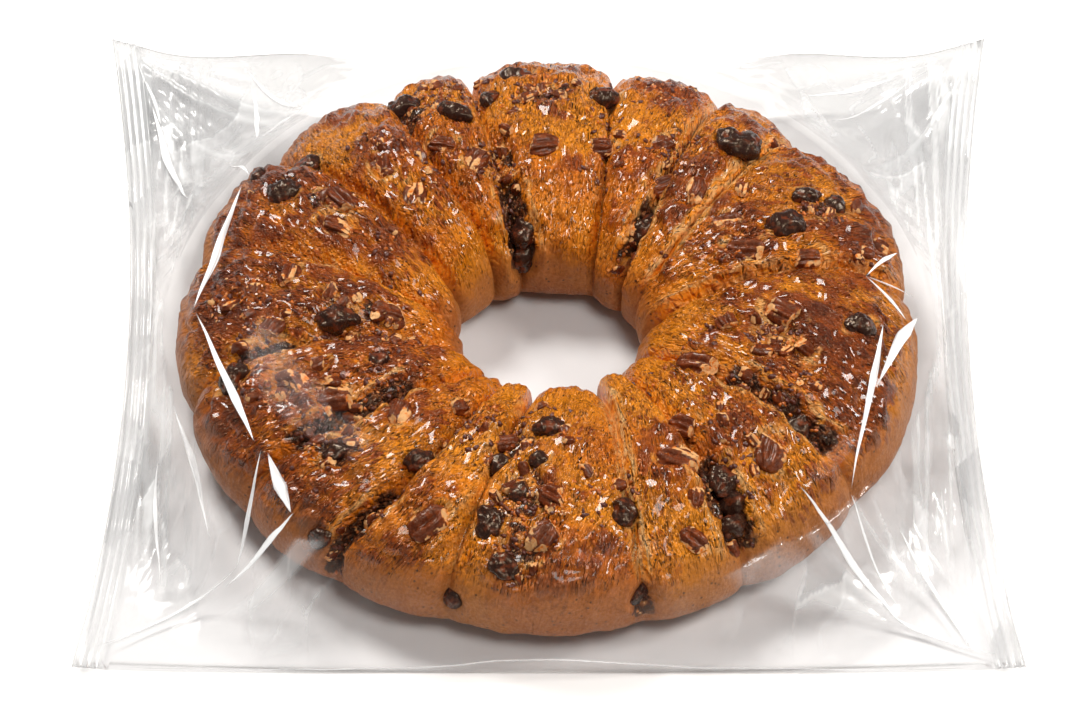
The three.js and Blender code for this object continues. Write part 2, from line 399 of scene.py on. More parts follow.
def fold_angle(fold, over):
    """The angle round the ring at which a fold crosses a point of the section."""
    hole, crown, side = fold[:3]
    c = np.cos(over)
    return np.radians(crown + (side - hole) / 2 * c + ((side + hole) / 2 - crown) * c * c)


def dough_point(angle, over, rise):
    """A point of the dough that stands a rise off the smooth section."""
    radius, height = section(over)
    outward, upward = section_normal(over)
    r = radius + outward * rise
    z = np.maximum(height + upward * rise - SUNK, 0) + BREAD_FOOT
    return np.stack([r * np.cos(angle), r * np.sin(angle), z], axis=-1)


class Dough:
    """The grid of points over the ring: one column for each place round it, one row over the section."""

    def __init__(self, columns, rows):
        over = self.row_angles(rows)
        parts = []
        for k, fold in enumerate(FOLDS):
            following = FOLDS[(k + 1) % len(FOLDS)]
            lap = 2 * math.pi if k + 1 == len(FOLDS) else 0
            count = round(columns * ((following[1] - fold[1]) % 360) / 360)
            even = np.arange(count) / count
            crowded = even - 0.5 * np.sin(2 * math.pi * even) / (2 * math.pi)
            share = crowded[:, None]
            start = fold_angle(fold, over)[None]
            end = fold_angle(following, over)[None] + lap
            angle = start + (end - start) * share
            parts.append((angle, share + 0 * angle, k + 0 * angle, end - start + 0 * angle))
        self.angle, self.share, self.strand, self.span = (np.concatenate(c) for c in zip(*parts))
        self.strand = self.strand.astype(int)
        self.over = over[None] + 0 * self.angle
        radius, height = section(self.over)
        run = np.hypot(np.diff(radius[0]), np.diff(height[0]))
        self.along = np.concatenate([[0], np.cumsum(run)])[None] + 0 * self.angle
        self.across = self.share * self.span * radius
        self.to_fold = np.minimum(self.share, 1 - self.share) * self.span * radius
        self.up = np.sin(self.over)
        self.swollen = dough_point(self.angle, self.over, self.swell())

    def row_angles(self, rows):
        """The rows' angles over the section. They lie wider apart on the underside."""
        finest = np.linspace(-90, 270, 3601)
        weight = np.where(np.sin(np.radians(finest)) > -0.5, 1.0, 0.3)
        steps = np.cumsum(weight) / weight.sum()
        return np.radians(np.interp(np.arange(rows) / rows, steps - steps[0], finest))

    def of_fold(self, column):
        """A column of FOLDS, as values for the folds before and after each point's strand."""
        values = np.array([fold[column] for fold in FOLDS], dtype=float)
        return values[self.strand], values[(self.strand + 1) % len(FOLDS)]

    def swell(self):
        """How far each strand swells between its folds, and how deep the folds cut."""
        before, after = self.of_fold(DEPTH)
        edge = np.abs(2 * self.share - 1)
        depth = before + (after - before) * self.share
        rise = SWELL * (1 - edge**2.4) - depth * edge**5
        return smooth(self.up, -0.7, 0.1) * rise

    def strand_points(self, across, along, seed):
        """Points for noise that is drawn out along the strands, with each strand on its own."""
        return np.stack([self.across / across, self.along / along, self.strand * 7.3 + seed], axis=-1)


class Place:
    """Where a nut, a date or a patch lies: its middle, its axes (long, wide, outward) and its size.

    A patch has no height.
    """

    def __init__(self, middle, axes, size):
        self.middle = middle
        self.axes = axes
        self.size = size

    def reach(self, points):
        """How far out each point lies in the piece's own ellipse, which is 1 at its rim."""
        local = (points - self.middle) @ self.axes.T
        flat = np.hypot(local[..., 0] / self.size[0], local[..., 1] / self.size[1]) * 2
        return np.where(np.abs(local[..., 2]) < NEAR, flat, FAR)


def place_of_node(node):
    """Reads where a nut or date lies from its solid."""
    corners = np.array([v.co for v in frame["nodes"][node].data.vertices]) / MM
    middle = (corners.min(axis=0) + corners.max(axis=0)) / 2
    spread = np.linalg.eigh(np.cov((corners - middle).T))[1].T[::-1]
    angle = math.atan2(middle[1], middle[0])
    in_dough = np.array([CENTRE_RADIUS * math.cos(angle), CENTRE_RADIUS * math.sin(angle), HEIGHT * 0.3])
    outward = spread[2] if spread[2] @ (middle - in_dough) > 0 else -spread[2]
    axes = np.array([spread[0], np.cross(outward, spread[0]), outward])
    return Place(middle, axes, np.ptp((corners - middle) @ axes.T, axis=0))


def place_on_dough(dough, points, normals, angle, over, heading, size):
    """A place on the dough's surface at an angle round the ring and over the section."""
    turn = (dough.angle - math.radians(angle) + math.pi) % (2 * math.pi) - math.pi
    tilt = (dough.over - math.radians(over) + math.pi) % (2 * math.pi) - math.pi
    nearest = np.unravel_index(np.argmin(turn**2 + tilt**2), turn.shape)
    outward = normals[nearest]
    heading = math.radians(heading)
    level = np.array([math.cos(heading), math.sin(heading), 0])
    along = level - outward * (level @ outward)
    along /= np.linalg.norm(along)
    return Place(points[nearest], np.array([along, np.cross(outward, along), outward]), np.array(size))


def grid_normals(points):
    """Outward directions of the closed grid."""
    round_ring = np.roll(points, -1, axis=0) - np.roll(points, 1, axis=0)
    over_section = np.roll(points, -1, axis=1) - np.roll(points, 1, axis=1)
    normals = np.cross(round_ring, over_section)
    return normals / np.maximum(np.linalg.norm(normals, axis=-1, keepdims=True), 1e-9)


class Relief:
    """How far the crust stands off the swollen dough, and how much of each look a point has."""

    def __init__(self, dough, places, patches, pull, crinkle):
        points = dough.swollen
        self.rise = np.zeros(points.shape[:-1])
        self.pale = np.zeros_like(self.rise)
        self.filling = np.zeros_like(self.rise)
        self.opened = np.zeros_like(self.rise)
        self.top = smooth(dough.up, -0.1, 0.6)
        self.within = 1 - np.abs(2 * dough.share - 1) ** 8
        self.inner = smooth(np.degrees(dough.over), 105, 150)
        self.broad = fractal(points, 30, 548)
        self.knead(dough, points)
        self.open_seams(dough, points)
        self.open_patches(points, patches)
        self.crinkle(dough, points, pull, crinkle)
        self.seat(points, places)
        self.colour(dough, points)

    def knead(self, dough, points):
        """Uneven strands, the lap of one over the next, and the crease between them."""
        lap_before, lap_after = dough.of_fold(LAP)
        pale_before, pale_after = dough.of_fold(STRETCH)
        first_half = dough.share < 0.5
        lap = np.where(first_half, lap_before, -lap_after)
        lip = (1 - np.exp(-dough.to_fold / 0.8)) * np.exp(-dough.to_fold / 5)
        strand_height = lattice(np.stack([dough.strand, dough.strand, dough.strand], axis=-1), 5)
        edge = np.abs(2 * dough.share - 1)
        self.rise += self.top * (2.2 * lap * lip + UNEVEN * strand_height * (1 - edge**2))
        self.rise -= CREASE * self.top * np.exp(-((dough.to_fold / 1.3) ** 2))
        self.rise += WAVE * self.broad
        stretch = np.where(first_half, pale_before, pale_after)
        ragged = dough.to_fold + 1.6 * noise(points, 7, 21)
        self.pale += stretch * self.top * (1 - smooth(ragged, 1.5, 6.5))

    def open_seams(self, dough, points):
        """Folds that have opened over the date filling."""
        over = (np.degrees(dough.over) + 90) % 360 - 90
        ragged = 0.5 * fractal(points, 9, 31) + 0.45 * fractal(points, 4.5, 33)
        broken = smooth(fractal(points, 11, 35), -0.75, -0.1)
        for fold, start, end, half, depth in SEAMS:
            previous = (fold - 1) % len(FOLDS)
            after = (dough.strand == fold) & (dough.share < 0.5)
            here = after | ((dough.strand == previous) & (dough.share > 0.5))
            length = smooth(over, start - 3, start + 8) * (1 - smooth(over, end - 8, end + 3))
            breadth = 1 - smooth(dough.to_fold / half + ragged, 0.55, 1.2)
            seam = here * length * breadth * (0.35 + 0.65 * broken)
            self.rise -= depth * seam
            self.filling = np.maximum(self.filling, seam)
            rim = here * length * np.exp(-((dough.to_fold / half + ragged - 1.35) / 0.3) ** 2)
            self.pale = np.maximum(self.pale, 0.75 * rim)
            self.rise += 0.8 * rim

    def open_patches(self, points, patches):
        """Places where the crust has torn into a crumb of dough, filling and nuts."""
        ragged = 0.5 * fractal(points, 9, 41)
        for place, depth in patches:
            reach = place.reach(points) + ragged
            patch = 1 - smooth(reach, 0.7, 1.15)
            self.rise -= depth * patch
            self.opened = np.maximum(self.opened, patch)
        pockets = smooth(fractal(points, 7, 47), 0.0, 0.35)
        self.filling = np.maximum(self.filling, self.opened * pockets * 0.8)
        self.pale = np.maximum(self.pale, self.opened * (1 - pockets) * 0.55)

    def crinkle(self, dough, points, pull, crinkle):
        """Pull lines along the strands, the crinkled glaze, and the lumps of the filling."""
        pulls = ridged(dough.strand_points(3.6, 30, 0), 1, 51)
        self.wrinkle = ridged(dough.strand_points(4.4, 10, 3), 1, 57)
        self.blister = lumps(points + 2 * fractal(points, 6, 61)[..., None], 6.5, 63)
        open_crumb = np.maximum(self.filling, self.opened)
        shut = self.within * (1 - 0.85 * open_crumb)
        self.rise += shut * self.top * pulls * pull * (0.6 + 0.6 * self.inner)
        self.rise += shut * self.top * (self.wrinkle - 0.5) * crinkle * (1 - 0.5 * self.inner)
        self.rise += shut * self.top * self.blister * 0.5 * crinkle * smooth(self.broad, -0.5, 0.2)
        self.rise += BUMP * fractal(points, 9, 67) * (1 - open_crumb)
        self.rise += LUMP * self.top * (lumps(points, 12, 69) - 0.4) * smooth(self.broad, -0.3, 0.4)
        chunk = lumps(points, 6.4, 71) * 3.0 + lumps(points, 3.4, 77) * 1.3
        self.rise += open_crumb * (chunk - 1.2)

    def seat(self, points, places):
        """The dent that each nut and date has baked for itself, and the dough that stands round it."""
        patchy = smooth(noise(points, 6, 45), -0.25, 0.5)
        for place in places:
            reach = place.reach(points)
            dent = 1 - smooth(reach, 0.85, 1.3)
            collar = np.exp(-(((reach - 1.5) / 0.2) ** 2))
            self.rise += (COLLAR * collar - DENT * dent) * (1 - 0.5 * self.opened)
            rim = np.exp(-(((reach - 1.15) / 0.3) ** 2))
            self.pale = np.maximum(self.pale, 0.8 * patchy * rim)

    def colour(self, dough, points):
        """How brown each point has baked, and where the crust stayed matt and tan."""
        to_ends = np.abs(np.cos(dough.angle)) ** 2.4
        patchy = fractal(points, 11, 81)
        crown = 1 - (2 * dough.share - 1) ** 2
        browning = 0.14 + 0.3 * to_ends + 0.28 * crown + 0.5 * self.broad + 0.4 * patchy
        relief = 0.4 * (self.wrinkle - 0.5) + 0.3 * (self.blister - 0.4)
        kept_light = 0.5 * self.inner + 0.25 * self.pale
        self.bake = np.clip(self.top * (browning + relief) - kept_light, 0, 1.4)
        self.blotch = fractal(points, 5.5, 83)
        self.wrinkled = smooth(fractal(points, 18, 85), -0.45, 0.05) * (1 - 0.7 * self.inner)
        glaze_edge = dough.up + 0.22 * fractal(points, 14, 87)
        self.matt = 1 - smooth(glaze_edge, 0.2, 0.62)
        self.pale = np.clip(self.pale * (1 - 0.6 * self.matt), 0, 1)
        self.crumbs = np.clip(0.9 * self.opened + 0.5 * self.filling, 0, 1)
        scattered = smooth(fractal(points, 24, 91), 0.05, 0.4) * smooth(dough.up, 0.55, 0.85)
        self.crumbs = np.clip(self.crumbs + 0.62 * scattered * (1 - self.inner), 0, 1)


def mark(mesh, name, values):
    """Keeps a number for each point of a mesh, which its material reads."""
    layer = mesh.attributes.new(name, "FLOAT", "POINT")
    layer.data.foreach_set("value", values.reshape(-1).astype(np.float32))


def crust_mesh(dough, relief):
    """The crust as one closed grid, with its looks as attributes and a map along the strands."""
    points = dough_point(dough.angle, dough.over, dough.swell() + relief.rise)
    columns, rows = dough.angle.shape
    i, j = np.meshgrid(np.arange(columns), np.arange(rows), indexing="ij")
    right, above = (i + 1) % columns, (j + 1) % rows
    faces = np.stack([i * rows + j, right * rows + j, right * rows + above, i * rows + above], axis=-1)
    mesh = bpy.data.meshes.new("bread_crust")
    mesh.from_pydata((points.reshape(-1, 3) * MM).tolist(), [], faces.reshape(-1, 4).tolist())
    for name in ("bake", "pale", "filling", "matt", "wrinkled", "broad", "blotch", "crumbs"):
        mark(mesh, name, getattr(relief, name))
    whole = dough.span * section(dough.over)[0]
    ends = np.roll(dough.share, -1, axis=0) < dough.share
    apart = dough.strand * STRAND_APART
    u_right = np.where(ends, whole, np.roll(dough.across, -1, axis=0)) + apart
    u_left = dough.across + apart
    v_low = dough.along
    v_high = np.where(j + 1 == rows, v_low + LAST_ROW, np.roll(v_low, -1, axis=1))
    corners = [(u_left, v_low), (u_right, v_low), (u_right, v_high), (u_left, v_high)]
    strand_map = np.stack([np.stack(corner, axis=-1) for corner in corners], axis=-2)
    layer = mesh.uv_layers.new(name="strand")
    layer.data.foreach_set("uv", (strand_map * MM).reshape(-1).astype(np.float32))
    return mesh, points


# --- Finishes --------------------------------------------------------------------------------------


class Value:
    """A number, colour or direction in a material, which can be added, taken away and multiplied."""

    def __init__(self, finish, socket):
        self.finish = finish
        self.socket = socket

    def maths(self, operation, first, second):
        return self.finish.node("ShaderNodeMath", {"operation": operation}, {0: first, 1: second})

    def __radd__(self, other):
        return self.maths("ADD", other, self)

    def __add__(self, other):
        return self.maths("ADD", self, other)

    def __sub__(self, other):
        return self.maths("SUBTRACT", self, other)

    def __rsub__(self, other):
        return self.maths("SUBTRACT", other, self)

    def __mul__(self, other):
        return self.maths("MULTIPLY", self, other)

    __rmul__ = __mul__


class Finish:
    """One material and the nodes that make it. The method node adds any of them."""

    def __init__(self, name):
        self.material = bpy.data.materials.new(name)
        self.material.use_nodes = True
        self.tree = self.material.node_tree
        self.tree.nodes.clear()
        self.out = self.tree.nodes.new("ShaderNodeOutputMaterial")

    def node(self, kind, settings=None, values=None, output=0):
        made = self.tree.nodes.new(kind)
        for name, setting in (settings or {}).items():
            setattr(made, name, setting)
        for name, value in (values or {}).items():
            if isinstance(value, Value):
                self.tree.links.new(value.socket, made.inputs[name])
            else:
                made.inputs[name].default_value = value
        return Value(self, made.outputs[output])

    def place(self, size):
        """Object coordinates counted in steps of a size in millimetres."""
        spot = self.node("ShaderNodeTexCoord", output="Object")
        values = {0: spot, "Scale": 1 / (size * MM)}
        return self.node("ShaderNodeVectorMath", {"operation": "SCALE"}, values)

    def strands(self, across, along):
        """The crust's own map, counted in steps across and along a strand."""
        spot = self.node("ShaderNodeUVMap", {"uv_map": "strand"})
        steps = (1 / (across * MM), 1 / (along * MM), 1)
        return self.node("ShaderNodeVectorMath", {"operation": "MULTIPLY"}, {0: spot, 1: steps})

    def noise(self, spot, detail=2.0, roughness=0.5, distortion=0.0):
        values = {"Vector": spot, "Scale": 1, "Detail": detail, "Roughness": roughness}
        return self.node("ShaderNodeTexNoise", None, values | {"Distortion": distortion})

    def cells(self, spot, feature="F1"):
        values = {"Vector": spot, "Scale": 1}
        return self.node("ShaderNodeTexVoronoi", {"feature": feature}, values, "Distance")

    def warped(self, spot, amount):
        """Shifts a place about by noise, so that cells counted in it aren't straight."""
        wobble = self.node("ShaderNodeTexNoise", None, {"Vector": spot, "Scale": 0.8, "Detail": 2}, "Color")
        shift = self.node("ShaderNodeVectorMath", {"operation": "SCALE"}, {0: wobble, "Scale": amount})
        return self.node("ShaderNodeVectorMath", {"operation": "ADD"}, {0: spot, 1: shift})

    def pads(self, spot, warp):
        """Rounded pads with narrow creases between them, as glaze wrinkles: 1 on a pad, 0 in a crease."""
        return self.ease(self.cells(self.warped(spot, warp), "DISTANCE_TO_EDGE"), 0.0, 0.32)

    def attribute(self, name):
        return self.node("ShaderNodeAttribute", {"attribute_name": name}, None, "Fac")

    def ease(self, value, low, high, start=0.0, end=1.0):
        """Runs smoothly from start to end as the value goes from low to high."""
        values = {"Value": value, "From Min": low, "From Max": high, "To Min": start, "To Max": end}
        return self.node("ShaderNodeMapRange", {"interpolation_type": "SMOOTHSTEP"}, values)

    def crest(self, value):
        """Turns smooth noise into thin crests, which are 1 where the noise is 0.5."""
        away = self.node("ShaderNodeMath", {"operation": "ABSOLUTE"}, {0: value - 0.5})
        return 1 - away * 4

    def mix(self, share, first, second):
        """Goes from the first colour to the second. Each is a value, or the name of a ring colour."""
        first, second = (colour_of(c) if isinstance(c, str) else c for c in (first, second))
        return self.node("ShaderNodeMix", {"data_type": "RGBA"}, {0: share, 6: first, 7: second}, 2)

    def bump(self, height, distance, normal=None):
        values = {"Height": height, "Distance": distance * MM, "Strength": 1}
        if normal:
            values["Normal"] = normal
        return self.node("ShaderNodeBump", None, values)

    def surface(self, shader):
        self.tree.links.new(shader.socket, self.out.inputs["Surface"])
        return self.material


def colour_of(name):
    """One of the colours that the panel lists."""
    return (*getattr(bpy.context.scene.ring_colours, name), 1)


def crust_finish():
    """Egg-washed crust: golden to mahogany under a glaze, matt tan low down, cream where it stretched."""
    f = Finish("glazed_crust")
    bake, pale, matt = f.attribute("bake"), f.attribute("pale"), f.attribute("matt")
    filling = f.attribute("filling")
    fine = f.noise(f.place(1.3), 4, 0.62)
    speckle = f.noise(f.place(0.6), 2, 0.6)
    wrinkled, broad, blotch = f.attribute("wrinkled"), f.attribute("broad"), f.attribute("blotch")
    pull = f.noise(f.strands(1.5, 11), 3, 0.55, 0.4)
    pads = f.pads(f.strands(3.3, 8), 0.9)
    small_pads = f.pads(f.strands(1.7, 3.6), 0.8)
    ridge = f.crest(pull)
    browned = bake + blotch * 0.36 + (pads - 0.6) * wrinkled * 0.42
    browned = browned + (fine - 0.5) * 0.3 + (pull - 0.5) * 0.3
    colour = f.mix(f.ease(broad, -0.4, 0.4), "golden", "amber")
    colour = f.mix(f.ease(browned, 0.32, 0.75), colour, "russet")
    colour = f.mix(f.ease(browned, 0.7, 1.15), colour, "mahogany")
    # Painted shade: mahogany in the creases between pads and in the grooves between pull lines.
    painted_crevice_shade = f.ease(pads, 0.02, 0.25, 1, 0) * wrinkled * 0.5 + f.ease(ridge, -0.2, 0.4, 0.15, 0)
    colour = f.mix(painted_crevice_shade * (1 - matt), colour, "mahogany")
    colour = f.mix(matt * 0.8, colour, f.mix(f.ease(fine, 0.3, 0.7), "tan", "tan_dark"))
    stretched = f.ease(pale + (speckle - 0.5) * 0.5 + blotch * 0.2, 0.3, 0.8)
    colour = f.mix(stretched, colour, f.mix(f.ease(pull, 0.35, 0.65), "cream", "golden"))
    pocket = f.noise(f.place(2.6), 3, 0.65)
    sticky = f.mix(f.ease(pocket, 0.48, 0.6), "filling", "date_glow")
    sticky = f.mix(f.ease(pocket, 0.54, 0.66), sticky, "tan")
    colour = f.mix(f.ease(filling + (speckle - 0.5) * 0.5, 0.3, 0.6), colour, sticky)
    spiced = f.ease(f.noise(f.place(11), 1), 0.42, 0.58)
    dot = f.ease(f.cells(f.place(3.1)), 0.1, 0.24, 1, 0) * spiced
    colour = f.mix(dot * 0.85, colour, "speck")
    porous = f.ease(f.noise(f.place(6), 1), 0.42, 0.6)
    # Painted shade: dark tan in small pits on the matt sides.
    painted_pore_shade = f.ease(f.cells(f.strands(1.7, 3.4)), 0.08, 0.3, 1, 0) * porous
    colour = f.mix(painted_pore_shade * matt * 0.7, colour, "tan_dark")
    rough = f.ease(fine, 0.3, 0.7, 0.13, 0.27) + matt * 0.36 + pale * 0.2
    glazed = 1 - matt * 0.85
    normal = f.bump(pads * wrinkled * glazed + ridge * glazed * 0.7, 1.7)
    normal = f.bump(small_pads * glazed + fine * 0.2 + speckle * 0.05, 0.75, normal)
    values = {"Base Color": colour, "Roughness": rough, "Normal": normal}
    values |= {"Coat Weight": glazed * (1 - pale * 0.7) * 0.46, "Coat Roughness": 0.07}
    values |= {"Specular IOR Level": 0.5, "Specular Tint": WARM}
    return f.surface(f.node("ShaderNodeBsdfPrincipled", None, values))


def nut_finish():
    """Toasted pecan: dark red-brown glossy skin, and cream where a piece has broken."""
    f = Finish("toasted_pecan")
    broken = f.attribute("broken")
    fine = f.noise(f.place(0.8), 3, 0.6)
    broad = f.noise(f.place(2.4), 3, 0.6)
    skin = f.mix(f.ease(broad, 0.4, 0.7), "pecan_skin", "pecan_glow")
    meat = f.mix(f.ease(broad + (fine - 0.5) * 0.6, 0.45, 0.7), "pecan_meat", "amber")
    colour = f.mix(f.ease(broken + (fine - 0.5) * 0.5, 0.35, 0.6), skin, meat)
    rough = f.ease(fine, 0.3, 0.7, 0.22, 0.42) + broken * 0.2
    values = {"Base Color": colour, "Roughness": rough, "Normal": f.bump(fine * 0.6 + broad, 0.45)}
    values |= {"Coat Weight": f.ease(broken, 0, 1, 0.2, 0.05), "Coat Roughness": 0.12}
    values |= {"Specular IOR Level": 0.3, "Specular Tint": WARM}
    return f.surface(f.node("ShaderNodeBsdfPrincipled", None, values))


def date_finish():
    """Baked date flesh: nearly black on its wrinkles, glossy and sticky, red-brown where it is thin."""
    f = Finish("sticky_date")
    folds = f.attribute("folds")
    fine = f.noise(f.place(0.8), 2, 0.6)
    broad = f.noise(f.place(3.4), 3, 0.6)
    colour = f.mix(f.ease(broad + (0.6 - folds) * 0.35, 0.45, 0.72), "date", "date_glow")
    rough = f.ease(broad, 0.35, 0.7, 0.2, 0.34)
    values = {"Base Color": colour, "Roughness": rough, "Normal": f.bump(broad + fine * 0.25, 0.5)}
    values |= {"Coat Weight": 0.15, "Coat Roughness": 0.1}
    values |= {"Specular IOR Level": 0.4, "Specular Tint": WARM}
    return f.surface(f.node("ShaderNodeBsdfPrincipled", None, values))


def crumb_finish():
    """Chopped nut and baked crumb, from cream to dark brown, one tone to each crumb."""
    f = Finish("nut_crumb")
    tone = f.attribute("tone")
    fine = f.noise(f.place(0.7), 2, 0.6)
    colour = f.mix(f.ease(tone + (fine - 0.5) * 0.3, 0.12, 0.5), "pecan_meat", "amber")
    colour = f.mix(f.ease(tone + (fine - 0.5) * 0.4, 0.4, 0.8), colour, "pecan_skin")
    rough = f.ease(fine, 0.3, 0.7, 0.3, 0.55)
    values = {"Base Color": colour, "Roughness": rough, "Normal": f.bump(fine, 0.25)}
    values |= {"Coat Weight": 0.2, "Coat Roughness": 0.2}
    return f.surface(f.node("ShaderNodeBsdfPrincipled", None, values))


# --- Nuts, dates and crumbs ------------------------------------------------------------------------


def put_in_scene(name, mesh, material):
    """A smooth object of this mesh at the origin, in its material."""
    for face in mesh.polygons:
        face.use_smooth = True
    if material:
        mesh.materials.append(material)
    made = bpy.data.objects.new(name, mesh)
    bpy.context.scene.collection.objects.link(made)
    return made


def round_body(rings, spokes):
    """A closed unit ball as directions, with its poles on x, and its faces."""
    turn = np.linspace(0, math.pi, rings + 1)[1:-1, None]
    spin = np.linspace(0, 2 * math.pi, spokes, endpoint=False)[None]
    wide, high = np.sin(turn) * np.cos(spin), np.sin(turn) * np.sin(spin)
    body = np.stack([np.cos(turn) + 0 * spin, wide, high], axis=-1)
    points = np.concatenate([[[1.0, 0, 0]], body.reshape(-1, 3), [[-1.0, 0, 0]]])
    last = len(points) - 1

    def at(ring, spoke):
        return 1 + ring * spokes + spoke % spokes

    faces = [(0, at(0, s), at(0, s + 1)) for s in range(spokes)]
    faces += [
        (at(r, s), at(r + 1, s), at(r + 1, s + 1), at(r, s + 1))
        for r in range(rings - 2)
        for s in range(spokes)
    ]
    faces += [(at(rings - 2, s + 1), at(rings - 2, s), last) for s in range(spokes)]
    return points, faces


def pecan_shape(unit, size, draw):
    """A piece of pecan half, lobed along, with a deep groove, and snapped at its ends or split on top.

    The second result is 1 where the skin has broken or rubbed off.
    """
    spin = np.arctan2(unit[:, 2], unit[:, 1])
    seed = int(draw.integers(1, 900))
    bend = 0.35 * unit[:, 0] ** 2 * draw.choice([-1, 1])
    groove = np.exp(-(((spin - math.pi / 2 - bend) / 0.22) ** 2))
    flank = np.exp(-(((np.abs(spin - math.pi / 2) - 0.95 + bend) / 0.16) ** 2))
    ribs = 0.07 * np.cos(9 * spin + 3 * noise(unit, 0.8, seed))
    round_waist = np.hypot(unit[:, 1], unit[:, 2])
    girth = 1 - 0.6 * groove * round_waist - 0.3 * flank * round_waist + ribs * round_waist
    points = unit * (size / 2)
    points[:, 1:] *= girth[:, None]
    points[:, 0] = np.sign(points[:, 0]) * (size[0] / 2) * np.abs(unit[:, 0]) ** 0.7
    points += unit * (0.8 * fractal(points, 4.2, seed) + 0.5 * fractal(points, 1.8, seed + 9))[:, None]
    ends = draw.permutation([-1, 1])
    cuts = [(ends[0], draw.uniform(-0.7, 0.7), draw.uniform(0.1, 0.9), draw.uniform(0.16, 0.3))]
    if draw.random() < 0.7:
        cuts.append((ends[1], draw.uniform(-0.8, 0.8), draw.uniform(-0.2, 0.5), draw.uniform(0.22, 0.36)))
    if draw.random() < 0.65:
        x, y = draw.uniform(-0.4, 0.4), draw.choice([-1, 1]) * draw.uniform(0.2, 0.9)
        cuts.append((x, y, 1.0, draw.uniform(0.2, 0.32)))
    broken = np.zeros(len(points))
    for x, y, z, share in cuts:
        away = np.array([x, y, z]) / math.sqrt(x * x + y * y + z * z)
        limit = share * np.abs(away) @ size
        beyond = points @ away - limit + 0.6 * fractal(points, 2.8, seed + 31)
        cut = beyond > 0
        rough = 0.7 * fractal(points, 1.5, seed + 17)
        points[cut] -= away * (0.95 * beyond[cut] - rough[cut])[:, None]
        broken = np.maximum(broken, smooth(beyond, 0, 0.3) * (1 - 0.8 * groove))
    rubbed = smooth(fractal(points, 3.2, seed + 43), 0.02, 0.35) * smooth(0.75 - unit[:, 2], 0, 0.45)
    return points, np.maximum(broken, 0.85 * rubbed * (1 - groove))


def date_shape(unit, size, draw):
    """A piece of date, a flattened lump with deep wrinkles. The second result is 1 on their crests."""
    seed = int(draw.integers(1, 900))
    points = unit * (size / 2)
    points += unit * (0.16 * size[2] * fractal(points, 5.0, seed) * 2)[:, None]
    folds = ridged(points * np.array([0.6, 1, 1]), 3.0, seed + 5, 2)
    points += unit * (1.3 * (folds - 0.62))[:, None]
    return points, folds


# The shape of each kind of topping, and what its second result is called.
SHAPES = {"pecan": (pecan_shape, "broken"), "date": (date_shape, "folds")}


def topping_mesh(name, kind, places, draw, steps):
    """One mesh of nuts or dates, each turned and moved to its place, with so many steps each way."""
    shape, said = SHAPES[kind]
    unit, faces = round_body(steps, steps)
    every_point, every_face, every_value = [], [], []
    for place in places:
        points, values = shape(unit, place.size, draw)
        every_face += [tuple(corner + len(unit) * len(every_point) for corner in face) for face in faces]
        every_point.append(points @ place.axes + place.middle)
        every_value.append(values)
    mesh = bpy.data.meshes.new(name)
    mesh.from_pydata((np.concatenate(every_point) * MM).tolist(), [], every_face)
    mark(mesh, said, np.concatenate(every_value))
    return mesh


def crumb_mesh(name, draw, flat):
    """A chip of nut: the hull of a few points, so it has flat broken faces and sharp edges."""
    made = bmesh.new()
    for _ in range(16):
        corner = Vector(draw.normal(size=3))
        corner = corner.normalized() * draw.uniform(0.36, 0.5)
        made.verts.new((corner.x, corner.y * 0.75, corner.z * flat))
    hull = bmesh.ops.convex_hull(made, input=made.verts)
    inside = [v for v in hull["geom_interior"] if isinstance(v, bmesh.types.BMVert)]
    bmesh.ops.delete(made, geom=inside, context="VERTS")
    bmesh.ops.recalc_face_normals(made, faces=made.faces)
    mesh = bpy.data.meshes.new(name)
    made.to_mesh(mesh)
    made.free()
    return mesh


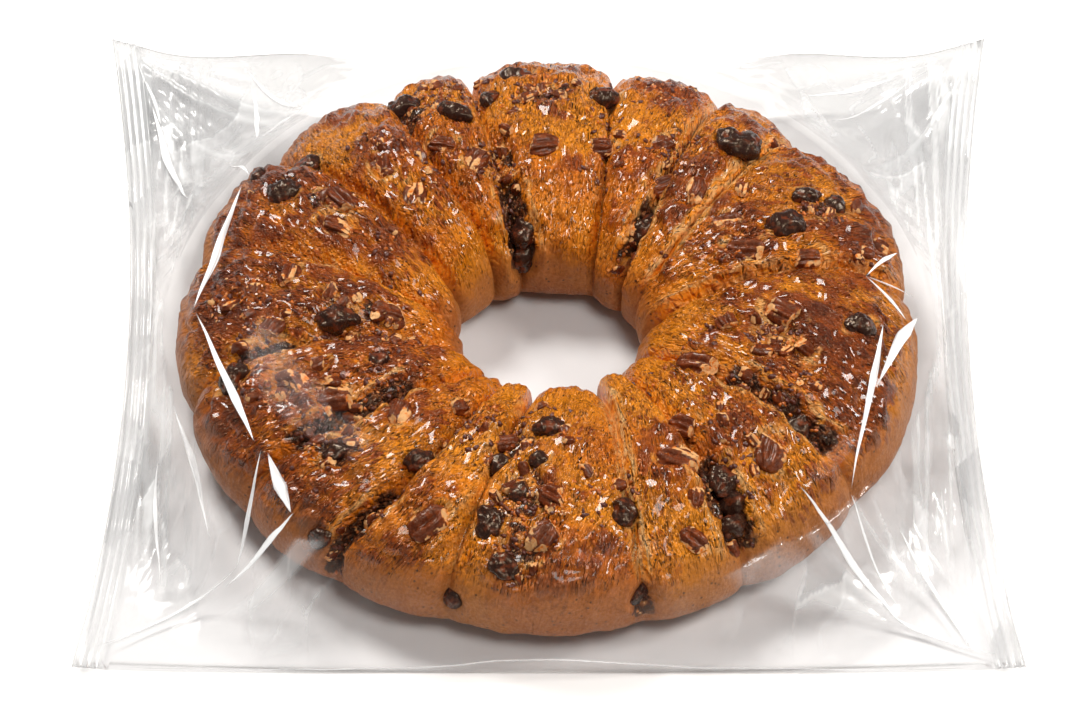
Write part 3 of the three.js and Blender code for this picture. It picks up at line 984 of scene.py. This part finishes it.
def scatter_tree():
    """Geometry Nodes that strew chips over a surface, thick where an attribute says so."""
    tree = bpy.data.node_groups.new("strew_chips", "GeometryNodeTree")
    inputs = (
        ("Surface", "NodeSocketGeometry"),
        ("Chips", "NodeSocketCollection"),
        ("Where", "NodeSocketString"),
        ("Per square metre", "NodeSocketFloat"),
        ("Smallest", "NodeSocketFloat"),
        ("Largest", "NodeSocketFloat"),
        ("Seed", "NodeSocketInt"),
        ("Finish", "NodeSocketMaterial"),
    )
    for name, kind in inputs:
        tree.interface.new_socket(name, in_out="INPUT", socket_type=kind)
    tree.interface.new_socket("Chips", in_out="OUTPUT", socket_type="NodeSocketGeometry")
    given = tree.nodes.new("NodeGroupInput").outputs

    def node(kind, settings=None, values=None):
        made = tree.nodes.new(kind)
        for name, setting in (settings or {}).items():
            setattr(made, name, setting)
        for name, value in (values or {}).items():
            if isinstance(value, bpy.types.NodeSocket):
                tree.links.new(value, made.inputs[name])
            else:
                made.inputs[name].default_value = value
        return made.outputs

    where = node("GeometryNodeInputNamedAttribute", {"data_type": "FLOAT"}, {"Name": given["Where"]})
    thick = node("ShaderNodeMath", {"operation": "MULTIPLY"},
                 {0: where["Attribute"], 1: given["Per square metre"]})
    strewn = node("GeometryNodeDistributePointsOnFaces", {"distribute_method": "RANDOM"},
                  {"Mesh": given["Surface"], "Density": thick[0], "Seed": given["Seed"]})
    turn = node("FunctionNodeRandomValue", {"data_type": "FLOAT_VECTOR"},
                {0: (-0.6, -0.6, 0), 1: (0.6, 0.6, 2 * math.pi), "Seed": given["Seed"]})
    turned = node("FunctionNodeEulerToRotation", None, {"Euler": turn[0]})
    lying = node("FunctionNodeRotateRotation", {"rotation_space": "LOCAL"},
                 {"Rotation": strewn["Rotation"], "Rotate By": turned[0]})
    size = node("FunctionNodeRandomValue", {"data_type": "FLOAT"},
                {2: given["Smallest"], 3: given["Largest"], "Seed": given["Seed"]})
    chips = node("GeometryNodeCollectionInfo", None,
                 {"Collection": given["Chips"], "Separate Children": True, "Reset Children": True})
    placed = node("GeometryNodeInstanceOnPoints", None,
                  {"Points": strewn["Points"], "Instance": chips[0], "Pick Instance": True,
                   "Rotation": lying[0], "Scale": size[1]})
    tone = node("FunctionNodeRandomValue", {"data_type": "FLOAT"}, {2: 0.0, 3: 1.0, "Seed": given["Seed"]})
    toned = node("GeometryNodeStoreNamedAttribute", {"data_type": "FLOAT", "domain": "INSTANCE"},
                 {"Geometry": placed[0], "Name": "tone", "Value": tone[1]})
    real = node("GeometryNodeRealizeInstances", None, {"Geometry": toned[0]})
    finished = node("GeometryNodeSetMaterial", None, {"Geometry": real[0], "Material": given["Finish"]})
    tree.links.new(finished[0], tree.nodes.new("NodeGroupOutput").inputs[0])
    return tree


def strew(name, tree, surface, **values):
    """Runs the tree on a copy of the surface and keeps what it makes as a plain mesh."""
    carrier = bpy.data.objects.new(name + "_carrier", surface)
    bpy.context.scene.collection.objects.link(carrier)
    modifier = carrier.modifiers.new("strew", "NODES")
    modifier.node_group = tree
    for socket in tree.interface.items_tree:
        key = socket.name.lower().replace(" ", "_")
        if socket.in_out == "INPUT" and key in values:
            modifier[socket.identifier] = values[key]
    evaluated = carrier.evaluated_get(bpy.context.evaluated_depsgraph_get())
    mesh = bpy.data.meshes.new_from_object(evaluated)
    carrier.modifiers.remove(modifier)
    bpy.data.objects.remove(carrier)
    mesh.name = name
    return put_in_scene(name, mesh, None)


# --- The bag's film --------------------------------------------------------------------------------


class Film:
    """The bag as one closed skin: a grid drawn tight over the ring, and a coarser one lying under it."""

    def __init__(self, across, along):
        low, high = (np.array(corner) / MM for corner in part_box("bag_top_film"))
        even = np.linspace(-1, 1, 2001)
        crowded = np.cumsum(np.where(np.abs(even) > 0.93, 4.5, np.where(np.abs(even) > 0.5, 2.8, 1)))
        s = np.interp(np.linspace(crowded[0], crowded[-1], across), crowded, even)[:, None]
        t = np.linspace(-1, 1, along)[None]
        self.behind = 1 - smooth(np.abs(s), 0.5, 0.9)
        back = high[1] - BACK_DIP * (1 - s**2) - (high[1] - BACK_DIP - BACK_FOLD[0]) * self.behind
        self.x = s * (high[0] - WAIST * (1 - t**2))
        self.y = low[1] + (back - low[1]) * (t + 1) / 2
        self.to_end = (1 - np.abs(s)) * high[0] + 0 * t
        self.to_edge = np.minimum(self.to_end, np.minimum(self.y - low[1], back - self.y))
        self.radius = np.hypot(self.x, self.y)
        self.off_ring = self.radius - CENTRE_RADIUS - HALF_WIDTH
        self.plan = np.stack([self.x, self.y, 0 * self.x], axis=-1)
        self.haze_and_painted_light = np.zeros_like(self.x)
        self.edge = self.lifted_edge(s, t)
        self.over_ring()
        self.facet()
        self.pucker()
        for number, (x, y) in enumerate((x, y) for x in (low[0], high[0]) for y in (low[1], high[1])):
            self.fan(number, x, y)
        self.seal()
        self.painted_shade()

    def lifted_edge(self, s, t):
        """How high the edge of the bag stands off the floor."""
        ripple = np.abs(noise(self.plan, 38, 101)) * 4.5 * smooth(self.to_end, 60, 0)
        at_back = smooth(t, 0.5, 1) ** 2 * (11 * smooth(np.abs(s), 0.45, 1) + BACK_FOLD[1] * self.behind)
        at_front = 3.5 * np.abs(s) ** 6 * smooth(-t, 0.8, 1)
        return THICK + ripple * np.clip(1 - t**8, 0, 1) + at_back + at_front

    def over_ring(self):
        """Lets a tight skin settle on the ring: every point is the mean of its neighbours or rests."""
        share = np.clip(np.abs(self.radius - CENTRE_RADIUS) / (HALF_WIDTH + BESIDE), 0, 1)
        crown = WIDEST + (HEIGHT - WIDEST) * (1 - share**CROWN_POWER) ** (1 / CROWN_POWER)
        rest = np.where(share < 1, crown + CLEAR, 0)
        height = np.maximum(rest, np.where(self.radius < CENTRE_RADIUS, HEIGHT, self.edge))
        held = self.to_edge < 1
        for _ in range(SETTLING):
            mean = (height[:-2, 1:-1] + height[2:, 1:-1] + height[1:-1, :-2] + height[1:-1, 2:]) / 4
            height[1:-1, 1:-1] = np.maximum(mean, rest[1:-1, 1:-1])
            height[held] = self.edge[held]
        self.z = height
        self.free = smooth(height - rest, 1.5, 7) * smooth(self.to_edge, 0, 14)
        self.free *= smooth(self.off_ring, -8, 8)

    def ridges(self, across, along, seed, number=0):
        """Sharp ridges, from how many steps each point is across and along them."""
        return ridged(np.stack([across, along, 0 * self.x + number], axis=-1), 1, seed)

    def facet(self):
        """Flat-sided folds of the loose film, each of its own tone: painted highlight on some, painted shade
        on others, and painted highlight where they meet.
        """
        wobble = 12 * fractal(self.plan, 30, 103)
        counted = np.stack([(self.x + wobble) / 20, (self.y + wobble) / 48, 0 * self.x], axis=-1)
        middle, line, tone = facets(counted, 107)
        self.z += self.free * (1.8 * (middle - 0.5) + 1.2 * fractal(self.plan, 22, 109))
        painted_highlight_and_shade = 0.17 * smooth(tone, 0.45, 0.8) + 0.06 * smooth(tone, 0.34, 0.2)
        painted_highlight_and_shade = painted_highlight_and_shade + 0.2 * smooth(line, 0.07, 0)
        cloudy = 0.75 + 0.9 * fractal(self.plan, 6, 113)
        self.haze_and_painted_light += self.free * painted_highlight_and_shade * cloudy * smooth(self.off_ring, 4, 26)
        # The tone runs from painted shade on darker facets to painted highlight on lighter ones.
        self.shade = 0.7 * smooth(tone, 0.2, 0.5)

    def pucker(self):
        """Fine lines drawn in along the end seals, and the puckers that run in from them. The crests of the
        lines carry a painted highlight.
        """
        near_seal = smooth(self.to_end, 52, 16) * self.free
        drawn = self.ridges(self.x / 3.4, self.y / 52, 115)
        self.z += near_seal * 1.3 * (drawn - 0.5)
        # Painted highlight on the crests of the drawn lines.
        self.haze_and_painted_light += 0.5 * near_seal * smooth(drawn, 0.62, 0.9)
        puckers = self.ridges(self.y / 9, self.to_end / 60, 111)
        self.z += self.free * 3.0 * (puckers - 0.5) * np.exp(-self.to_end / 42)

    def fan(self, number, x, y):
        """Folds that fan out from a corner of the bag, with a painted highlight on their crests."""
        reach = np.hypot(self.x - x, self.y - y)
        turn = np.arctan2(self.y - y, self.x - x)
        fan = self.ridges(turn * 5.5, reach / 110, 131, number)
        near = smooth(reach, 6, 30) * (1 - smooth(reach, 60, 165))
        self.z += self.free * 5.0 * (fan - 0.45) * near
        self.haze_and_painted_light += 0.35 * smooth(fan, 0.72, 0.94) * near * self.free

    def seal(self):
        """The crimped seals at both ends."""
        in_seal = self.to_end < SEAL
        crimp = np.sin(self.to_end * (2 * math.pi / CRIMP))
        self.z = np.where(in_seal, self.edge + THICK + 0.25 * crimp, self.z)
        self.haze_and_painted_light = np.clip(self.haze_and_painted_light + in_seal * (0.2 + 0.12 * crimp), 0, MOST_HAZE_AND_PAINTED_LIGHT)

    def painted_shade(self):
        """Painted shade: the film is made darker beside the ring, most of it at the back."""
        painted_shade = smooth(self.off_ring, 0, 14) * (0.02 + 0.26 * smooth(self.y, 70, 140))
        self.shade *= self.haze_and_painted_light / (self.haze_and_painted_light + painted_shade + 1e-6)
        self.haze_and_painted_light = np.clip(self.haze_and_painted_light + painted_shade, 0, MOST_HAZE_AND_PAINTED_LIGHT)

    def height_at(self, x, y):
        """The film's height over a point of the plan, from the nearest points of its grid."""
        nearest = [np.argmin((self.x - px) ** 2 + (self.y - py) ** 2) for px, py in zip(x, y)]
        return self.z.reshape(-1)[nearest]

    def creases_mesh(self, creases):
        """Sharp creases, each a thin strip of doubled film that widens and closes again like a spindle, with
        a painted highlight along it.
        """
        unit, faces = round_body(CREASE_STEPS, CREASE_SPOKES)
        round_it = np.maximum(np.hypot(unit[:, 1], unit[:, 2]), 1e-6)
        sideways, upward = unit[:, 1] / round_it, unit[:, 2] / round_it
        share = 1 - np.arccos(np.clip(unit[:, 0], -1, 1)) / math.pi
        every_point, every_face, every_painted_highlight = [], [], []
        for number, (x0, y0, x1, y1, broad, widest, white) in enumerate(creases):
            along = np.array([x1 - x0, y1 - y0])
            run = np.hypot(*along)
            swell = np.where(share < widest, share / widest, (1 - share) / (1 - widest))
            half = broad / 2 * np.clip(swell, 0, 1) ** 0.9
            wave = np.stack([share * run / 16, 0 * share, 0 * share + number], axis=-1)
            bow = 0.02 * min(run, 60) * np.sin(share * math.pi) * (-1) ** number + 0.5 * noise(wave, 1, 137)
            # Both tips stay on the line.
            off = sideways * half + bow * (round_it > 1e-3)
            x = x0 + along[0] * share - along[1] / run * off
            y = y0 + along[1] * share + along[0] / run * off
            spine = np.interp(share, *self.spine(x0, y0, x1, y1))
            z = spine + 0.5 + 0.12 * half * (1 - sideways**2) + 0.2 * upward
            spot = np.stack([sideways * half * 1.4, share * run / 26, 0 * share + number], axis=-1)
            streak = noise(spot, 1, 139)
            every_face += [tuple(corner + len(unit) * number for corner in face) for face in faces]
            every_point.append(np.stack([x, y, z], axis=-1))
            every_painted_highlight.append(np.clip(white * (0.78 + 0.5 * streak) * smooth(swell, -0.05, 0.25), 0.05, 1))
        mesh = bpy.data.meshes.new("film_creases")
        mesh.from_pydata((np.concatenate(every_point) * MM).tolist(), [], every_face)
        mark(mesh, "white", np.concatenate(every_painted_highlight))
        return mesh

    def spine(self, x0, y0, x1, y1):
        """The film's height along a straight line of the plan."""
        share = np.linspace(0, 1, CREASE_STEPS)
        height = self.height_at(x0 + (x1 - x0) * share, y0 + (y1 - y0) * share)
        return share, np.convolve(np.pad(height, 2, mode="edge"), np.full(5, 0.2), mode="valid")

    def mesh(self):
        """The upper grid and a coarser one under it, joined along the bag's edge."""
        across, along = self.x.shape
        index = np.arange(across * along).reshape(across, along)
        corners = [index[:-1, :-1], index[1:, :-1], index[1:, 1:], index[:-1, 1:]]
        faces = np.stack(corners, axis=-1).reshape(-1, 4).tolist()
        upper = np.stack([self.x, self.y, self.z], axis=-1).reshape(-1, 3)
        rise_over = 26 - 20 * self.behind * (self.y > 0)
        lifted = ON_FLOOR + (self.edge - ON_FLOOR) * smooth(-self.to_edge / rise_over, -1, 0)
        under = np.where(self.to_end < SEAL, self.edge, lifted)
        below = index.copy()
        inner = np.ix_(range(COARSE, across - 1, COARSE), range(COARSE, along - 1, COARSE))
        below[inner] = across * along + np.arange(below[inner].size).reshape(below[inner].shape)
        lower = np.stack([self.x[inner], self.y[inner], under[inner]], axis=-1).reshape(-1, 3)

        def side(start, end):
            """The points of one side of a lower cell: every point where it runs along the bag's edge."""
            (i0, j0), (i1, j1) = start, end
            on_edge = (i0 == i1 and i0 in (0, across - 1)) or (j0 == j1 and j0 in (0, along - 1))
            steps = COARSE if on_edge else 1
            part = np.arange(steps)
            return below[i0 + (i1 - i0) * part // steps, j0 + (j1 - j0) * part // steps].tolist()

        for i in range(0, across - 1, COARSE):
            for j in range(0, along - 1, COARSE):
                ring = [(i, j), (i, j + COARSE), (i + COARSE, j + COARSE), (i + COARSE, j)]
                faces.append([point for k in range(4) for point in side(ring[k], ring[(k + 1) % 4])])
        mesh = bpy.data.meshes.new("bag_film")
        mesh.from_pydata((np.concatenate([upper, lower]) * MM).tolist(), [], faces)
        for name, values in {"haze_and_painted_light": self.haze_and_painted_light, "shade": self.shade, "free": self.free}.items():
            mark(mesh, name, np.concatenate([values.reshape(-1), 0.2 * values[inner].reshape(-1)]))
        return mesh


def film_finish():
    """Clear film: it mirrors the lamps, greys what lies behind it a little, and its milky part is painted
    light, as highlights on creases and folds and as shade on some folds and behind the ring.
    """
    f = Finish("clear_film")
    haze_and_painted_light, shade, free = f.attribute("haze_and_painted_light"), f.attribute("shade"), f.attribute("free")
    facing = f.node("ShaderNodeLayerWeight", None, {"Blend": 0.5}, "Facing")
    edge_on = f.node("ShaderNodeMath", {"operation": "POWER"}, {0: facing, 1: 4.4})
    sheen = 0.001 + edge_on * 0.6 + haze_and_painted_light * 0.05 + free * 0.015
    clear = f.node("ShaderNodeBsdfTransparent", None, {"Color": CLEAR_FILM})
    gloss = f.node("ShaderNodeBsdfGlossy", None, {"Color": (1, 1, 1, 1), "Roughness": 0.08})
    film = f.node("ShaderNodeMixShader", None, {0: sheen, 1: clear, 2: gloss})
    # Painted light: the milky colour runs from painted shade to painted highlight.
    white = f.mix(shade, PAINTED_SHADE_FILM, "film")
    milky = f.node("ShaderNodeBsdfPrincipled", None, {"Base Color": white, "Roughness": 0.3})
    return f.surface(f.node("ShaderNodeMixShader", None, {0: haze_and_painted_light, 1: film, 2: milky}))


def crease_finish():
    """Film folded on itself: painted light, as a highlight, and only partly seen through."""
    f = Finish("creased_film")
    clear = f.node("ShaderNodeBsdfTransparent", None, {"Color": CREASED_FILM})
    values = {"Base Color": colour_of("film"), "Roughness": 0.25}
    milky = f.node("ShaderNodeBsdfPrincipled", None, values)
    values = {0: f.attribute("white"), 1: clear, 2: milky}
    return f.surface(f.node("ShaderNodeMixShader", None, values))


# --- Sizes and colours -----------------------------------------------------------------------------


def length(name, description, default):
    return FloatProperty(name=name, description=description, default=default, unit="LENGTH", precision=5)


def colour(name, description, default):
    return FloatVectorProperty(name=name, description=description, default=default, subtype="COLOR", size=3)


class RingSizes(bpy.types.PropertyGroup):
    columns: IntProperty(name="Columns", description="Points round the ring", default=560)
    rows: IntProperty(name="Rows", description="Points over the section", default=174)
    pull: length("Pull lines", "How high the lines along a strand stand", 0.0016)
    crinkle: length("Crinkles", "How high the crinkled glaze stands", 0.0042)
    crumbs: IntProperty(name="Crumbs", description="Chips for a square metre of open crust", default=125000)
    bits: IntProperty(name="Bits", description="Larger bits of nut for the same area", default=8500)
    smallest: length("Smallest crumb", "Length of the smallest chip", 0.001)
    largest: length("Largest crumb", "Length of the largest chip", 0.0045)
    seed: IntProperty(name="Seed", description="Draws another set of nuts and crumbs", default=7)


class RingColours(bpy.types.PropertyGroup):
    golden: colour("Golden", "Crust where it baked least", (0.84, 0.27, 0.010))
    amber: colour("Amber", "Crust where it baked a little more", (0.66, 0.155, 0.005))
    russet: colour("Russet", "Well baked crust", (0.31, 0.055, 0.004))
    mahogany: colour("Mahogany", "The brownest crust", (0.125, 0.020, 0.004))
    tan: colour("Tan", "The matt crust low on the sides", (0.34, 0.125, 0.040))
    tan_dark: colour("Dark tan", "The matt crust where it is brown", (0.17, 0.054, 0.015))
    cream: colour("Cream", "Dough that stretched in the oven", (0.80, 0.45, 0.17))
    filling: colour("Filling", "Date filling in the folds", (0.05, 0.016, 0.007))
    speck: colour("Speck", "Dark specks of spice", (0.03, 0.010, 0.006))
    pecan_skin: colour("Pecan skin", "Skin of the nuts", (0.088, 0.014, 0.003))
    pecan_glow: colour("Pecan glow", "Lighter skin of the nuts", (0.21, 0.038, 0.006))
    pecan_meat: colour("Pecan meat", "Broken faces of the nuts", (0.72, 0.40, 0.17))
    date: colour("Date", "Skin of the dates", (0.026, 0.009, 0.006))
    date_glow: colour("Date glow", "Thin flesh of the dates", (0.15, 0.028, 0.008))
    # The film colour is the painted highlight on its creases and folds.
    film: colour("Film", "The film where it whitens", (0.92, 0.93, 0.94))


# The crust's grid and the small pieces' places, which are worked out once.
baked = {}


def nodes_of(kind):
    """The names of the frame's nuts or dates."""
    return sorted(name for name in frame["nodes"] if name.startswith(kind + "_"))


def bake_dough():
    """Shapes the crust once, and keeps its mesh and the small pieces' places for the others."""
    if "dough" in baked:
        return
    sizes = bpy.context.scene.ring_sizes
    dough = Dough(sizes.columns, sizes.rows)
    normals = grid_normals(dough.swollen)

    def place(row, size, points):
        return place_on_dough(dough, points, normals, *row[:3], size)

    patches = [(place(row, row[3:5], dough.swollen), row[5]) for row in PATCHES]
    seats = [place_of_node(name) for kind in SHAPES for name in nodes_of(kind)]
    small = {
        "small_pecans": [(row, np.array(SMALL_PECAN_SHARES) * row[3]) for row in SMALL_PECANS],
        "small_dates": [(row, np.array(SMALL_DATE_SHARES) * row[3]) for row in SMALL_DATES],
    }
    seats += [place(row, size, dough.swollen) for rows in small.values() for row, size in rows]
    relief = Relief(dough, seats, patches, sizes.pull / MM, sizes.crinkle / MM)
    baked["dough"], points = crust_mesh(dough, relief)
    normals = grid_normals(points)
    for name, rows in small.items():
        baked[name] = [place(row, size, points) for row, size in rows]


class BakeCrust(bpy.types.Operator):
    """Makes the twisted, glazed dough ring"""

    bl_idname = "date_ring.crust"
    bl_label = "Crust"

    def execute(self, context):
        bake_dough()
        crust = put_in_scene("bread_crust", baked["dough"], crust_finish())
        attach(crust, "root")
        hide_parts("bread_ring")
        return {"FINISHED"}


def set_toppings(kind, finish):
    """One detailed piece for each solid nut or date, and one piece for the small ones."""
    bake_dough()
    draw = np.random.default_rng(bpy.context.scene.ring_sizes.seed + len(kind))
    for node in nodes_of(kind):
        mesh = topping_mesh(f"{node}_baked", kind, [place_of_node(node)], draw, TOPPING_STEPS)
        piece = put_in_scene(f"{node}_baked", mesh, finish)
        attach(piece, "root")
        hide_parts(node)
    small = f"small_{kind}s"
    piece = put_in_scene(small, topping_mesh(small, kind, baked[small], draw, SMALL_STEPS), finish)
    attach(piece, "root")


class LayPecans(bpy.types.Operator):
    """Makes the pecan pieces, each in the place of its solid"""

    bl_idname = "date_ring.pecans"
    bl_label = "Pecans"

    def execute(self, context):
        set_toppings("pecan", nut_finish())
        return {"FINISHED"}


class LayDates(bpy.types.Operator):
    """Makes the date pieces, each in the place of its solid"""

    bl_idname = "date_ring.dates"
    bl_label = "Dates"

    def execute(self, context):
        set_toppings("date", date_finish())
        return {"FINISHED"}


class StrewCrumbs(bpy.types.Operator):
    """Strews chopped nut and crumb over the open crust"""

    bl_idname = "date_ring.crumbs"
    bl_label = "Crumbs"

    def execute(self, context):
        bake_dough()
        sizes = context.scene.ring_sizes
        draw = np.random.default_rng(sizes.seed)
        chips = bpy.data.collections.new("chips")
        bits = bpy.data.collections.new("bits")
        for number in range(CHIP_KINDS):
            name = f"chip_{number}"
            chips.objects.link(bpy.data.objects.new(name, crumb_mesh(name, draw, draw.uniform(0.35, 0.7))))
        unit, faces = round_body(14, 16)
        for number in range(BIT_KINDS):
            size = np.array([BIT_LENGTH, draw.uniform(3.8, 5.2), draw.uniform(3.2, 4.4)])
            points, broken = pecan_shape(unit, size, draw)
            mesh = bpy.data.meshes.new(f"bit_{number}")
            mesh.from_pydata((points / BIT_LENGTH).tolist(), [], faces)
            mark(mesh, "broken", broken)
            bits.objects.link(bpy.data.objects.new(f"bit_{number}", mesh))
        tree = scatter_tree()
        least, most = sizes.smallest, sizes.largest
        layers = (
            ("nut_crumbs", chips, sizes.crumbs, least, most, crumb_finish()),
            ("nut_bits", bits, sizes.bits, 1.2 * most, 2.1 * most, nut_finish()),
        )
        for name, shapes, count, smallest, largest, finish in layers:
            given = {"chips": shapes, "where": "crumbs", "per_square_metre": float(count)}
            given |= {"smallest": smallest, "largest": largest, "seed": sizes.seed, "finish": finish}
            strewn = strew(name, tree, baked["dough"], **given)
            for shape in list(shapes.objects):
                bpy.data.objects.remove(shape)
            bpy.data.collections.remove(shapes)
            if not strewn.data.polygons:
                raise RuntimeError(f"no {name} were strewn")
            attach(strewn, "root")
        return {"FINISHED"}


class DrawFilm(bpy.types.Operator):
    """Draws the clear film of the bag over the ring"""

    bl_idname = "date_ring.film"
    bl_label = "Film"

    def execute(self, context):
        skin = Film(*FILM_GRID)
        film = put_in_scene("bag_film", skin.mesh(), film_finish())
        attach(film, "root")
        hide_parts("bag_top_film", "bag_base_film")
        creases = put_in_scene("film_creases", skin.creases_mesh(CREASES), crease_finish())
        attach(creases, "root")
        return {"FINISHED"}


class SetStage(bpy.types.Operator):
    """Makes the pale floor, the soft lights and the camera"""

    bl_idname = "date_ring.stage"
    bl_label = "Stage"

    def execute(self, context):
        scene = context.scene
        scene.view_settings.view_transform = "Standard"
        floor = bpy.data.meshes.new("floor")
        sides = ((-1, -1), (1, -1), (1, 1), (-1, 1))
        corners = [(x * FLOOR_REACH, y * FLOOR_REACH, FLOOR_LEVEL) for x, y in sides]
        floor.from_pydata(corners, [], [(0, 1, 2, 3)])
        f = Finish("pale_floor")
        values = {"Base Color": FLOOR_COLOUR, "Roughness": 0.7}
        shade = f.node("ShaderNodeBsdfPrincipled", None, values)
        put_in_scene("floor", floor, f.surface(shade))
        world = bpy.data.worlds.new("studio")
        world.use_nodes = True
        sky = world.node_tree.nodes["Background"].inputs
        sky["Color"].default_value = (1, 1, 1, 1)
        sky["Strength"].default_value = SKY_STRENGTH
        scene.world = world
        for name, place, size, power in LAMPS:
            self.lamp(name, place, size, power)
        camera = bpy.data.cameras.new("camera")
        camera.sensor_width = 36
        camera.lens = CAMERA_LENS
        camera.clip_end = 20
        eye = bpy.data.objects.new("camera", camera)
        tilt = math.radians(CAMERA_TILT)
        away = Vector((0, -math.cos(tilt), math.sin(tilt)))
        eye.location = Vector(CAMERA_AIM) + CAMERA_DISTANCE * away
        eye.rotation_euler = (math.pi / 2 - tilt, 0, 0)
        scene.collection.objects.link(eye)
        scene.camera = eye
        return {"FINISHED"}

    def lamp(self, name, place, size, power):
        """A round soft lamp that points at the origin."""
        data = bpy.data.lights.new(name, "AREA")
        data.shape = "DISK"
        data.size = size
        data.energy = power
        data.color = LAMP_COLOUR
        lamp = bpy.data.objects.new(name, data)
        lamp.location = place
        lamp.rotation_euler = (-Vector(place)).to_track_quat("-Z", "Y").to_euler()
        bpy.context.scene.collection.objects.link(lamp)


class RingPanel(bpy.types.Panel):
    """Lists the pieces of the ring with their sizes and colours"""

    bl_idname = "DATE_RING_PT_panel"
    bl_label = "Date pecan ring"
    bl_space_type = "VIEW_3D"
    bl_region_type = "UI"
    bl_category = "Date pecan ring"

    def draw(self, context):
        for operator in OPERATORS:
            self.layout.operator(operator.bl_idname)
        for group in (context.scene.ring_sizes, context.scene.ring_colours):
            for name in group.bl_rna.properties.keys():
                if name not in ("rna_type", "name"):
                    self.layout.prop(group, name)


OPERATORS = (BakeCrust, LayPecans, LayDates, StrewCrumbs, DrawFilm, SetStage)
CLASSES = (RingSizes, RingColours, *OPERATORS, RingPanel)


def register():
    for cls in CLASSES:
        bpy.utils.register_class(cls)
    bpy.types.Scene.ring_sizes = PointerProperty(type=RingSizes)
    bpy.types.Scene.ring_colours = PointerProperty(type=RingColours)


def unregister():
    del bpy.types.Scene.ring_colours
    del bpy.types.Scene.ring_sizes
    for cls in reversed(CLASSES):
        bpy.utils.unregister_class(cls)


def main():
    register()
    for operator in OPERATORS:
        group, name = operator.bl_idname.split(".")
        getattr(getattr(bpy.ops, group), name)()


if __name__ == "__main__":
    main()
